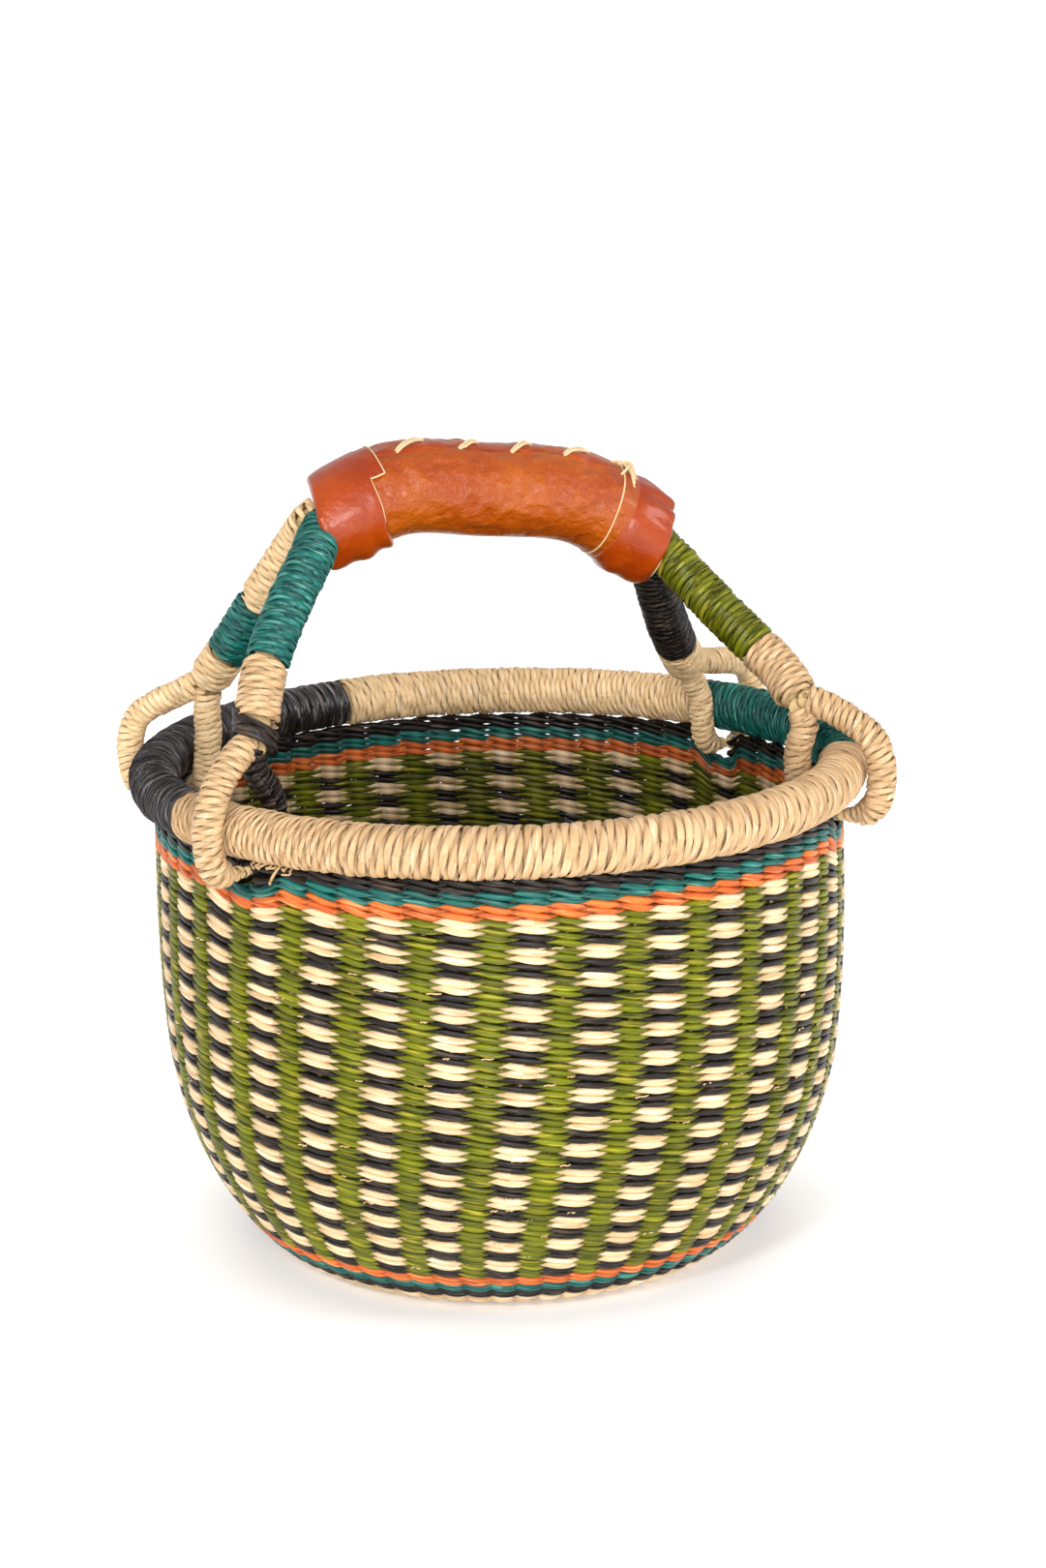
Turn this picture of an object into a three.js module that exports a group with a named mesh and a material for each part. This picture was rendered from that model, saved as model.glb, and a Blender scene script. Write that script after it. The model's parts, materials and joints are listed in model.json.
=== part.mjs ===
// Round twined market basket: a straw-bound rim and a rocking handle with a leather grip.
// Lengths are millimetres. +Z is up, the handle runs along X, and the base rests on z = 0.

import * as THREE from 'three';

const degree = Math.PI / 180;
const fullTurn = 2 * Math.PI;

// Clearances between neighbouring pieces
const seatGap = 0.3;
const windingSeat = 0.6;

// Rim: a roll of grass bound with straw, standing on the wall
const rimRadius = 142;
const rimRollRadius = 10.5;
const rimCoreRadius = 6.2;
const rimCentreHeight = 202;
const rimEvenSteps = 40;
const nearStepShare = 0.3;
const sameStepShare = 0.001;
const rimSides = 12;
const rimCoreSides = 6;

// Where each colour of rim binding starts, in degrees round from +X
const rimBackAngle = 34;
const rimLeftAngle = 103;
const rimFrontAngle = 205.5;
const rimRightAngle = 339;

// Wall and base: one twined fabric, coloured in bands at both edges
const wallOverhang = 1;
const wallThickness = 6;
const baseThickness = 6;
const baseEdgeLift = 2.5;
const startRadius = 14;
const startEyeRadius = 2;
const baseBlackHeight = 4.6;
const baseTealHeight = 3.8;
const baseOrangeHeight = 4.4;
const topBlackHeight = 5.2;
const topTealHeight = 5;
const topOrangeHeight = 5.6;
const wallEvenSteps = 48;

// Uprights that the rows are twined round: each raises a rib on both faces of the wall.
// They stand at the first angle at the wall's top, and lean back by the shares of the lean below it.
const uprightCount = 64;
const uprightFirstAngle = 258.6;
const uprightLeanAngle = 6.4;
const uprightLeanShares = [[0, 1], [0.25, 0.75], [0.39, 0.545], [0.61, 0.3], [1, 0]];
const ribOutsideDepth = 1.9;
const ribInsideDepth = 1.3;
const baseUprightCount = 32;
const baseRibDepth = 1.8;
const baseRibMargin = 8;

// Outline of the wall's outside: share of the wall's height, share of its radius
const wallProfileShares = [
  [0, 0.601], [0.0131, 0.664], [0.0471, 0.727], [0.1046, 0.797], [0.209, 0.881],
  [0.314, 0.937], [0.418, 0.972], [0.575, 0.993], [0.732, 1], [1, 0.9965],
];
const wallLevelShares = [0, 0.145, 0.247, 0.388, 0.613, 1];

// Handle tilt: how far the handle rocks each way before its eyes meet the rim
const handleTiltAngle = 2;
const eyeSideAngle = 29;
const eyeSideSlack = 0.4;
const eyeFreeSlack = 0.5;
const eyeStrandRadius = 5.8;
const eyeNarrowRadius = 3.2;
const eyeArchRadius = 6.6;
const stemStandoff = 0.85;
const eyeSides = 8;
const eyeCornerShare = 0.78;
const eyeShoulderShare = [1.08, 0.45];
const notchClearance = 1.6;
const dipHalfWidth = 20;

// Arch of each eye: how far inside the rim's circle, how far above its centre, and its lean inwards
const frontLeftInset = 5.6;
const frontLeftRise = 40.6;
const frontLeftAngle = 29;
const frontRightInset = 13;
const frontRightRise = 28;
const frontRightAngle = 42;
const backLeftInset = 13;
const backLeftRise = 33;
const backLeftAngle = 36;
const backRightInset = 20;
const backRightRise = 20;
const backRightAngle = 55;

// How much of the dip under an eye each row still shows: teal's lower edge, then orange's
const dipLeftShare = [0.8, 0.6];

// Grip: two stems side by side in padding, under a leather sleeve with a cuff at each end.
// Its ends stand above the rim's centre, and it arches above them.
const gripSpan = 142.8;
const gripShift = -1.1;
const gripLeftStand = 105.7;
const gripRightStand = 86.3;
const gripRise = 19;
const gripHalfHeight = 17.5;
const gripHalfWidth = 19.2;
const gripEndHalfHeight = 17.1;
const gripEndHalfWidth = 20.6;
const leatherThickness = 1.6;
const cuffThickness = 1.3;
const cuffLength = 23;
const gripStations = 12;
const gripSides = 16;
const paddingInset = 12;
const gripArcShares = [[0, 0], [0.228, 0.886], [0.469, 1], [0.771, 0.95], [1, 0]];

// Seam on top of the grip, its lacing, and the thong tied round the right end
const weltRadius = 0.9;
const weltSides = 6;
const weltInset = 3;
const stitchRadius = 0.6;
const stitchSides = 5;
const stitchSteps = 6;
const stitchSlant = 4;
const stitchSweepAngle = 150;
const stitchPlaceShares = [0.265, 0.405, 0.555, 0.69];
const tieRadius = 1.1;
const tieSides = 6;
const tieSteps = 24;
const tieSlant = 4;
const knotRadius = 3.6;
const knotSegments = 10;
const tabLength = 7;
const tabWidth = 9;
const tabThickness = 1.2;
const tabAngle = 38;

// Stems: a bundle in each, bound with coloured cord down to the eyes
const stemCoreRadius = 5.8;
const stemCoreSides = 6;
const stemSpread = 9.4;
const stemSpanSteps = 3;
const cordDiameter = 2.2;
const cordPitch = 3.2;
const cordSteps = 10;
const cordSides = 4;
const cordFlatShare = 0.9;
const sleeveSides = 12;
const windingInset = 15;
const throatBandLength = 8;
const throatBandThickness = 2;

const stemRadius = stemCoreRadius + windingSeat + cordDiameter;
const wallRadius = rimRadius + wallOverhang;
const wallTopHeight = rimCentreHeight - rimRollRadius - seatGap;

const colours = {
  natural: 0xe3cd9a,
  black: 0x23202a,
  teal: 0x1f7f76,
  orange: 0xe8742f,
  olive: 0x8d9c2c,
  green: 0x7f962b,
  grass: 0xcbb27c,
  leather: 0xd0652d,
  cuff: 0xc65c2a,
  thong: 0xe0c594,
};

const basket = new THREE.Group();
const handle = new THREE.Group();
const part = new THREE.Group();
part.add(basket, handle);

function piece(owner, name, geometry, colour, roughness) {
  const material = new THREE.MeshStandardMaterial({ color: colours[colour], roughness, metalness: 0 });
  const mesh = new THREE.Mesh(geometry, material);
  mesh.name = name;
  owner.add(mesh);
  return mesh;
}

const straw = (owner, name, geometry, colour) => piece(owner, name, geometry, colour, 0.75);
const hide = (owner, name, geometry, colour) => piece(owner, name, geometry, colour, 0.45);

// Swept bodies: a section of loops carried through a row of stations.
// The first loop runs anticlockwise round the material, and every other loop is a hole in it.
function sweptBody(stationCount, loopsAt, place, closed) {
  const positions = [];
  const triangles = [];
  const first = loopsAt(0);
  const ringSize = first.reduce((sum, loop) => sum + loop.length, 0);
  for (let station = 0; station < stationCount; station += 1) {
    for (const loop of loopsAt(station)) {
      for (const [u, v] of loop) {
        positions.push(...place(station, u, v).toArray());
      }
    }
  }
  const spans = closed ? stationCount : stationCount - 1;
  for (let span = 0; span < spans; span += 1) {
    const here = span * ringSize;
    const there = ((span + 1) % stationCount) * ringSize;
    let start = 0;
    for (const loop of first) {
      for (let side = 0; side < loop.length; side += 1) {
        const a = start + side;
        const b = start + ((side + 1) % loop.length);
        triangles.push(here + a, there + a, there + b, here + a, there + b, here + b);
      }
      start += loop.length;
    }
  }
  if (!closed) {
    const last = (stationCount - 1) * ringSize;
    const flat = first.map((loop) => loop.map(([u, v]) => new THREE.Vector2(u, v)));
    for (const [a, b, c] of THREE.ShapeUtils.triangulateShape(flat[0], flat.slice(1))) {
      triangles.push(a, b, c, last + c, last + b, last + a);
    }
  }
  const geometry = new THREE.BufferGeometry();
  geometry.setAttribute('position', new THREE.Float32BufferAttribute(positions, 3));
  geometry.setIndex(triangles);
  geometry.computeVertexNormals();
  return geometry;
}

// An oval loop of the section, anticlockwise, or clockwise for a hole
function oval(halfWidth, halfHeight, sides, hole = false, centre = 0) {
  const loop = [];
  for (let side = 0; side < sides; side += 1) {
    const angle = (fullTurn * side) / sides;
    loop.push([centre + halfWidth * Math.cos(angle), halfHeight * Math.sin(angle)]);
  }
  return hole ? loop.reverse() : loop;
}

// A hole whose flats, not its corners, keep the wanted distance
const boreRadius = (radius, sides) => radius / Math.cos(Math.PI / sides);

// Angles round the basket: even steps, with the wanted ones put in place of their near neighbours
function angleList(evenSteps, wanted, first = 0) {
  const step = 360 / evenSteps;
  const turn = (angle) => ((angle % 360) + 360) % 360;
  const kept = wanted.map(turn);
  for (let index = 0; index < evenSteps; index += 1) {
    const angle = turn(first + index * step);
    const square = angle % 90 === 0;
    const near = kept.some((other) => Math.abs(turn(other - angle + 180) - 180) < nearStepShare * step);
    if (square || !near) {
      kept.push(angle);
    }
  }
  return [...new Set(kept)].sort((a, b) => a - b);
}

// The stretch of an angle list from one angle to another, ends included once
function angleSpan(list, from, to) {
  const between = [...list, ...list.map((angle) => angle + 360)];
  const inside = (angle) => Math.min(angle - from, to - angle) > sameStepShare * (to - from);
  return [from, ...between.filter(inside), to];
}

// Bodies swept round the basket's axis, their section in radius and height, turned a little at each height
const noTurn = () => 0;
function ringBody(angles, loopsAt, closed, turnAt = noTurn) {
  const place = (station, radius, height) => new THREE.Vector3(
    radius * Math.cos((angles[station] + turnAt(height)) * degree),
    radius * Math.sin((angles[station] + turnAt(height)) * degree),
    height,
  );
  return sweptBody(angles.length, (station) => loopsAt(angles[station]), place, closed);
}

// Bodies swept along a row of points, the frame carried on from a first side direction
function pathFrames(points, firstSide) {
  const frames = [];
  let side = firstSide.clone();
  for (let index = 0; index < points.length; index += 1) {
    const before = points[Math.max(index - 1, 0)];
    const after = points[Math.min(index + 1, points.length - 1)];
    const along = after.clone().sub(before).normalize();
    side = side.clone().addScaledVector(along, -side.dot(along)).normalize();
    const up = side.clone().cross(along);
    frames.push({ point: points[index], along, side, up });
  }
  return frames;
}

function pathBody(frames, loopsAt) {
  const place = (station, u, v) => frames[station].point.clone()
    .addScaledVector(frames[station].side, u)
    .addScaledVector(frames[station].up, v);
  return sweptBody(frames.length, loopsAt, place, false);
}

// The stretch of a row of points between two distances along it
function pathSlice(points, from, to) {
  const slice = [];
  let travelled = 0;
  for (let index = 0; index + 1 < points.length; index += 1) {
    const length = points[index].distanceTo(points[index + 1]);
    const at = (distance) => points[index].clone().lerp(points[index + 1], (distance - travelled) / length);
    if (from >= travelled && from < travelled + length) {
      slice.push(at(from));
    }
    if (slice.length > 0 && to <= travelled + length) {
      slice.push(at(to));
      return slice;
    }
    if (slice.length > 0) {
      slice.push(points[index + 1].clone());
    }
    travelled += length;
  }
  return slice;
}

const pathLength = (points) => points.slice(1)
  .reduce((sum, point, index) => sum + point.distanceTo(points[index]), 0);

// Eyes: where the four loops of the handle hold the rim
const eyeAt = (azimuth, inset, rise, lean) => ({ azimuth, inset, rise, lean });
const eyes = {
  front_left: eyeAt(180 + eyeSideAngle, frontLeftInset, frontLeftRise, frontLeftAngle),
  front_right: eyeAt(360 - eyeSideAngle, frontRightInset, frontRightRise, frontRightAngle),
  back_left: eyeAt(180 - eyeSideAngle, backLeftInset, backLeftRise, backLeftAngle),
  back_right: eyeAt(eyeSideAngle, backRightInset, backRightRise, backRightAngle),
};

const eyeOuterReach = rimRadius + rimRollRadius + eyeSideSlack + 2 * eyeStrandRadius;
const eyeSwing = eyeOuterReach * Math.sin(eyeSideAngle * degree) * Math.sin(handleTiltAngle * degree);
const eyeSlack = eyeSwing + eyeFreeSlack;
const eyeHalfWidth = rimRollRadius + eyeSideSlack + eyeStrandRadius;
const eyeTop = rimRollRadius + eyeSlack + eyeStrandRadius;
const eyeBottom = rimRollRadius + eyeSlack + eyeNarrowRadius;

// Wall outline and the rows' levels, which dip under each eye
function wallRadiusAt(height) {
  const share = THREE.MathUtils.clamp(height / wallTopHeight, 0, 1);
  const next = Math.max(1, wallProfileShares.findIndex(([heightShare]) => heightShare >= share));
  const [lowHeight, lowRadius] = wallProfileShares[next - 1];
  const [highHeight, highRadius] = wallProfileShares[next];
  const blend = (share - lowHeight) / (highHeight - lowHeight);
  return wallRadius * (lowRadius + blend * (highRadius - lowRadius));
}

const tealTop = wallTopHeight - topBlackHeight;
const orangeTop = tealTop - topTealHeight;
const weaveTop = orangeTop - topOrangeHeight;
const notchFloor = rimCentreHeight - eyeBottom - eyeNarrowRadius - eyeSlack;
const notchHalfWidth = eyeNarrowRadius + notchClearance;
const dipDepth = tealTop - notchFloor;

function dipAt(angle) {
  let dip = 0;
  for (const { azimuth } of Object.values(eyes)) {
    const turned = ((angle - azimuth + 540) % 360) - 180;
    const away = Math.abs(turned) * degree * rimRadius;
    const share = (dipHalfWidth - away) / (dipHalfWidth - notchHalfWidth);
    dip = Math.max(dip, dipDepth * THREE.MathUtils.smoothstep(share, 0, 1));
  }
  return dip;
}

// How far an angle lies between two uprights: 0 on one, 1 halfway to the next
function betweenUprights(angle, count, first) {
  const share = ((angle - first) * count) / 360;
  return 2 * Math.abs(share - Math.round(share));
}

// A band of the wall between two levels, open inside
const flatShares = [0, 1];
const noRibs = [0, 0];
function wallBand(
  angles, bottomAt, topAt, closed, levelShares = flatShares, ribDepths = noRibs, turnAt = noTurn,
) {
  return ringBody(angles, (angle) => {
    const bottom = bottomAt(angle);
    const rise = topAt(angle) - bottom;
    const between = betweenUprights(angle, uprightCount, uprightFirstAngle);
    const [outsideFall, insideFall] = ribDepths.map((depth) => depth * between);
    const levels = levelShares.map((share) => bottom + share * rise);
    const outside = levels.map((height) => [wallRadiusAt(height) - outsideFall, height]);
    const inside = levels.map((height) => [wallRadiusAt(height) - wallThickness + insideFall, height]);
    return [[...outside, ...inside.reverse()]];
  }, closed, turnAt);
}

const notchTurn = notchHalfWidth / rimRadius / degree;
const dipTurn = dipHalfWidth / rimRadius / degree;
const eyeAzimuths = Object.values(eyes).map(({ azimuth }) => azimuth % 360).sort((a, b) => a - b);
const midTurn = (dipTurn + notchTurn) / 2;
const dipTurns = [-dipTurn, -midTurn, -notchTurn, notchTurn, midTurn, dipTurn];
const dipAngles = eyeAzimuths.flatMap((eye) => dipTurns.map((turn) => eye + turn));
const wallAngles = angleList(wallEvenSteps, dipAngles);
const ribAngles = angleList(2 * uprightCount, dipAngles, uprightFirstAngle);
const plainAngles = angleList(wallEvenSteps, []);
const baseRibAngle = uprightFirstAngle - uprightLeanAngle;
const baseRibAngles = angleList(2 * baseUprightCount, [], baseRibAngle);

// A level read off the straight lines between the wall's angles, so that the ribbed ring meets it
function onWallAngles(levelAt, angle) {
  const ring = [...wallAngles, wallAngles[0] + 360];
  const next = Math.max(1, ring.findIndex((other) => other >= angle));
  const share = (angle - ring[next - 1]) / (ring[next] - ring[next - 1]);
  return THREE.MathUtils.lerp(levelAt(ring[next - 1]), levelAt(ring[next]), share);
}

// Base: the woven start, the natural rounds about it, and the three rounds at the turn of the wall
straw(basket, 'base_start', ringBody(plainAngles.filter((angle, index) => index % 2 === 0), () => [
  [[startEyeRadius, 0], [startRadius, 0], [startRadius, baseThickness], [startEyeRadius, baseThickness]],
], true), 'natural');

const baseLoop = (angle) => {
  const ribbedTop = baseThickness - baseRibDepth * betweenUprights(angle, baseUprightCount, baseRibAngle);
  return [
    [startRadius + seatGap, 0],
    [wallRadiusAt(0), 0],
    [wallRadiusAt(baseEdgeLift), baseEdgeLift],
    [wallRadiusAt(baseThickness), baseThickness],
    [wallRadiusAt(0) - baseRibMargin, ribbedTop],
    [startRadius + seatGap, ribbedTop],
  ];
};
straw(basket, 'base_weave', ringBody(baseRibAngles, (angle) => [baseLoop(angle)], true), 'natural');

let baseLevel = baseThickness;
for (const [colour, height] of [
  ['black', baseBlackHeight], ['teal', baseTealHeight], ['orange', baseOrangeHeight],
]) {
  const bottom = baseLevel + seatGap;
  const top = baseLevel + height;
  straw(basket, `base_band_${colour}`, wallBand(plainAngles, () => bottom, () => top, true), colour);
  baseLevel = top;
}

// Wall, then the orange, teal and black rounds below the rim
const weaveTopAt = (angle) => weaveTop - dipLeftShare[1] * dipAt(angle);
const orangeTopAt = (angle) => orangeTop - dipLeftShare[0] * dipAt(angle);
const tealTopAt = (angle) => tealTop - dipAt(angle);
const above = (level) => (angle) => level(angle) + seatGap;
const wallBottom = baseLevel + seatGap;

const ribbedTopAt = (angle) => onWallAngles(weaveTopAt, angle);
const ribDepths = [ribOutsideDepth, ribInsideDepth];

// How far the uprights lean at a height: none from the wall's top edge down to the lowest dip
const lowestTop = weaveTop - dipLeftShare[1] * dipDepth;
function leanAt(height) {
  const share = THREE.MathUtils.clamp((height - wallBottom) / (lowestTop - wallBottom), 0, 1);
  const next = Math.max(1, uprightLeanShares.findIndex(([heightShare]) => heightShare >= share));
  const [[low, lowLean], [high, highLean]] = uprightLeanShares.slice(next - 1, next + 1);
  return -uprightLeanAngle * THREE.MathUtils.mapLinear(share, low, high, lowLean, highLean);
}
const wall = wallBand(ribAngles, () => wallBottom, ribbedTopAt, true, wallLevelShares, ribDepths, leanAt);
straw(basket, 'wall_weave', wall, 'olive');
straw(basket, 'top_band_orange', wallBand(wallAngles, above(weaveTopAt), orangeTopAt, true), 'orange');
straw(basket, 'top_band_teal', wallBand(wallAngles, above(orangeTopAt), tealTopAt, true), 'teal');

const blackArcs = [
  ['back', eyeAzimuths[0], eyeAzimuths[1]],
  ['left', eyeAzimuths[1], eyeAzimuths[2]],
  ['front', eyeAzimuths[2], eyeAzimuths[3]],
  ['right', eyeAzimuths[3], eyeAzimuths[0] + 360],
];
for (const [side, from, to] of blackArcs) {
  const span = angleSpan(wallAngles, from + notchTurn, to - notchTurn);
  const arc = wallBand(span, above(tealTopAt), () => wallTopHeight, false);
  straw(basket, `top_band_black_${side}`, arc, 'black');
}

// Rim: a core of grass all round, in four lengths of binding
const rimJoints = [rimBackAngle, rimLeftAngle, rimFrontAngle, rimRightAngle, rimBackAngle + 360];
const jointTurn = seatGap / rimRadius / degree / 2;
const rimEnds = rimJoints.slice(0, -1).flatMap((joint) => [joint - jointTurn, joint + jointTurn]);
const rimAngles = angleList(rimEvenSteps, [...rimEnds, ...eyeAzimuths]);
const rimLoop = (radius, sides, hole) => oval(radius, radius, sides, hole)
  .map(([u, v]) => [rimRadius + u, rimCentreHeight + v]);

straw(basket, 'rim_core', ringBody(rimAngles, () => [rimLoop(rimCoreRadius, rimCoreSides)], true), 'grass');
const rimBindings = ['back_natural', 'left_black', 'front_natural', 'right_teal'];
rimBindings.forEach((name, index) => {
  const span = angleSpan(rimAngles, rimJoints[index] + jointTurn, rimJoints[index + 1] - jointTurn);
  const loops = [rimLoop(rimRollRadius, rimSides), rimLoop(rimCoreRadius + seatGap, rimCoreSides, true)];
  straw(basket, `rim_binding_${name}`, ringBody(span, () => loops, false), name.split('_')[1]);
});

// Eyes: each is an outer strand over the rim and an inner strand down inside it, in one upright plane
function eyeStrand(eye, outward) {
  const lean = eye.lean * degree;
  const up = new THREE.Vector2(-Math.sin(lean), Math.cos(lean));
  const across = new THREE.Vector2(Math.cos(lean), Math.sin(lean)).multiplyScalar(outward ? 1 : -1);
  const arch = new THREE.Vector2(-eye.inset, eye.rise).addScaledVector(up, -eyeArchRadius);
  const archPoint = (angle) => arch.clone()
    .addScaledVector(up, eyeArchRadius * Math.cos(angle * degree))
    .addScaledVector(across, eyeArchRadius * Math.sin(angle * degree));
  const corner = [eyeCornerShare * eyeHalfWidth, eyeCornerShare * eyeBottom];
  const route = [archPoint(0), archPoint(45), archPoint(90)];
  if (outward) {
    route.push(new THREE.Vector2(corner[0], eyeCornerShare * eyeTop));
    route.push(new THREE.Vector2(eyeHalfWidth, 0));
    route.push(new THREE.Vector2(corner[0], -corner[1]));
  } else {
    route.push(new THREE.Vector2(-eyeShoulderShare[0] * eyeHalfWidth, eyeShoulderShare[1] * eyeTop));
    route.push(new THREE.Vector2(-corner[0], -corner[1]));
  }
  route.push(new THREE.Vector2(0, -eyeBottom));
  const cut = seatGap / 2 * (outward ? 1 : -1);
  const points = route.map(({ x, y }) => new THREE.Vector3(x, 0, y));
  points[0].addScaledVector(new THREE.Vector3(across.x, 0, across.y), seatGap / 2);
  points.at(-1).x += cut;
  const curve = new THREE.CatmullRomCurve3(points, false, 'centripetal');
  const stations = curve.getSpacedPoints(outward ? 13 : 11);
  const frames = pathFrames(stations, new THREE.Vector3(0, 1, 0));
  const end = new THREE.Vector3(outward ? 1 : -1, 0, 0);
  frames[0].along = new THREE.Vector3(across.x, 0, across.y).normalize();
  frames.at(-1).along = end.negate();
  for (const frame of [frames[0], frames.at(-1)]) {
    frame.up = frame.side.clone().cross(frame.along);
  }
  const radiusAt = (station) => {
    const inward = eyeHalfWidth - Math.abs(stations[station].x);
    const inWall = stations[station].z < 0
      ? THREE.MathUtils.smoothstep(inward, 0, eyeHalfWidth - 2 * eyeNarrowRadius)
      : 0;
    return THREE.MathUtils.lerp(eyeStrandRadius, eyeNarrowRadius, inWall);
  };
  return pathBody(frames, (station) => [oval(radiusAt(station), radiusAt(station), eyeSides)]);
}

for (const [name, eye] of Object.entries(eyes)) {
  const place = new THREE.Group();
  place.rotation.z = eye.azimuth * degree;
  handle.add(place);
  const shifted = new THREE.Group();
  shifted.position.set(rimRadius, 0, rimCentreHeight);
  place.add(shifted);
  straw(shifted, `eye_${name}_outer`, eyeStrand(eye, true), 'natural');
  straw(shifted, `eye_${name}_inner`, eyeStrand(eye, false), name === 'front_left' ? 'black' : 'natural');
}

// The end of a stem: just above the arch of its eye
function stemEnd(eye) {
  const lean = eye.lean * degree;
  const reach = eyeStrandRadius + stemStandoff;
  const radius = rimRadius - eye.inset - reach * Math.sin(lean);
  const height = rimCentreHeight + eye.rise + reach * Math.cos(lean);
  return new THREE.Vector3(
    radius * Math.cos(eye.azimuth * degree),
    radius * Math.sin(eye.azimuth * degree),
    height,
  );
}

// Grip: the middle line rises in an arc from the left end to the lower right end
const gripCurve = new THREE.CatmullRomCurve3(gripArcShares.map(([along, rise]) => new THREE.Vector3(
  gripShift + gripSpan * (along - 0.5),
  0,
  rimCentreHeight + THREE.MathUtils.lerp(gripLeftStand, gripRightStand, along) + gripRise * rise,
)), false, 'centripetal');
const gripPoints = gripCurve.getSpacedPoints(gripStations);
const gripLength = pathLength(gripPoints);
const gripSide = new THREE.Vector3(0, -1, 0);

// Half sizes of the grip's oval section at a share of its length, widest across at the ends
function gripSection(share, inset) {
  const middle = Math.sqrt(Math.sin(Math.PI * share));
  return [
    THREE.MathUtils.lerp(gripEndHalfWidth, gripHalfWidth, middle) - inset,
    THREE.MathUtils.lerp(gripEndHalfHeight, gripHalfHeight, middle) - inset,
  ];
}

// A length of the grip, as a frame and a share of the whole at each station
function gripRun(from, to) {
  const frames = pathFrames(pathSlice(gripPoints, from, to), gripSide);
  let travelled = from;
  frames.forEach((frame, index) => {
    travelled += index > 0 ? frame.point.distanceTo(frames[index - 1].point) : 0;
    frame.share = THREE.MathUtils.clamp(travelled / gripLength, 0, 1);
  });
  return frames;
}

function gripShell(from, to, outerInset, innerInset) {
  const frames = gripRun(from, to);
  return pathBody(frames, (station) => [
    oval(...gripSection(frames[station].share, outerInset), gripSides),
    oval(...gripSection(frames[station].share, innerInset), gripSides, true),
  ]);
}

const paddingFrames = gripRun(paddingInset, gripLength - paddingInset);
const channel = boreRadius(stemCoreRadius + seatGap, stemCoreSides);
const padding = pathBody(paddingFrames, (station) => [
  oval(...gripSection(paddingFrames[station].share, leatherThickness + seatGap), gripSides),
  oval(channel, channel, stemCoreSides, true, -stemSpread),
  oval(channel, channel, stemCoreSides, true, stemSpread),
]);
straw(handle, 'grip_padding', padding, 'grass');
hide(handle, 'grip_leather', gripShell(0, gripLength, 0, leatherThickness), 'leather');
const cuffInset = -seatGap - cuffThickness;
hide(handle, 'grip_cuff_left', gripShell(0, cuffLength, cuffInset, -seatGap), 'cuff');
hide(handle, 'grip_cuff_right', gripShell(gripLength - cuffLength, gripLength, cuffInset, -seatGap), 'cuff');

// A point on the grip's outside: distance along, angle from the top towards the front, height off the leather
function onGrip(distance, angle, lift) {
  const share = distance / gripLength;
  const next = Math.min(distance + gripLength / gripStations, gripLength);
  const [point, ahead] = pathSlice(gripPoints, distance, next);
  const along = ahead.clone().sub(point).normalize();
  const up = gripSide.clone().cross(along);
  const [halfWidth, halfHeight] = gripSection(share, 0);
  const outward = new THREE.Vector3()
    .addScaledVector(gripSide, Math.sin(angle * degree) / halfWidth)
    .addScaledVector(up, Math.cos(angle * degree) / halfHeight)
    .normalize();
  const place = point.clone()
    .addScaledVector(gripSide, halfWidth * Math.sin(angle * degree))
    .addScaledVector(up, halfHeight * Math.cos(angle * degree))
    .addScaledVector(outward, lift);
  return { place, along, outward };
}

// Seam welt along the top, between the left cuff and the tie
const tieDistance = gripLength - cuffLength - tieRadius - tieSlant - weltInset;
const weltStart = cuffLength + weltInset;
const weltEnd = tieDistance - tieSlant - weltInset;
const weltPoints = gripRun(weltStart, weltEnd).map(({ point, up, share }) => point.clone()
  .addScaledVector(up, gripSection(share, 0)[1] + seatGap + weltRadius));
hide(handle, 'grip_seam_welt', pathBody(pathFrames(weltPoints, gripSide), () => [
  oval(weltRadius, weltRadius, weltSides),
]), 'leather');

// Lacing: each stitch crosses the welt on a slant
stitchPlaceShares.forEach((share, index) => {
  const { place, along, outward } = onGrip(share * gripLength, 0, seatGap + weltRadius);
  const points = [];
  const reach = boreRadius(weltRadius + seatGap + stitchRadius, stitchSteps);
  for (let step = 0; step <= stitchSteps; step += 1) {
    const turn = stitchSweepAngle * (step / stitchSteps - 0.5);
    points.push(place.clone()
      .addScaledVector(along, stitchSlant * (step / stitchSteps - 0.5))
      .addScaledVector(gripSide, reach * Math.sin(turn * degree))
      .addScaledVector(outward, reach * Math.cos(turn * degree)));
  }
  hide(handle, `grip_stitch_${index + 1}`, pathBody(pathFrames(points, along), () => [
    oval(stitchRadius, stitchRadius, stitchSides),
  ]), 'thong');
});

// Tie: a thong once round the leather beside the right cuff, leaning back, and its knot on top
const tieFrames = [];
for (let step = 0; step < tieSteps; step += 1) {
  const angle = (360 * step) / tieSteps;
  const distance = tieDistance + tieSlant * Math.cos(angle * degree);
  const { place, along, outward } = onGrip(distance, angle, seatGap + boreRadius(tieRadius, tieSteps / 2));
  tieFrames.push({ point: place, side: outward, up: along });
}
const tiePlace = (station, u, v) => tieFrames[station].point.clone()
  .addScaledVector(tieFrames[station].side, u)
  .addScaledVector(tieFrames[station].up, v);
const tieLoop = [oval(tieRadius, tieRadius, tieSides)];
hide(handle, 'grip_tie', sweptBody(tieSteps, () => tieLoop, tiePlace, true), 'thong');

const knotLift = 2 * seatGap + 2 * boreRadius(tieRadius, tieSteps / 2) + knotRadius;
const knotSeat = onGrip(tieDistance + tieSlant, 0, knotLift);
const knot = new THREE.SphereGeometry(knotRadius, knotSegments, knotSegments / 2 + 1);
hide(handle, 'grip_tie_knot', knot, 'thong').position.copy(knotSeat.place);

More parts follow.
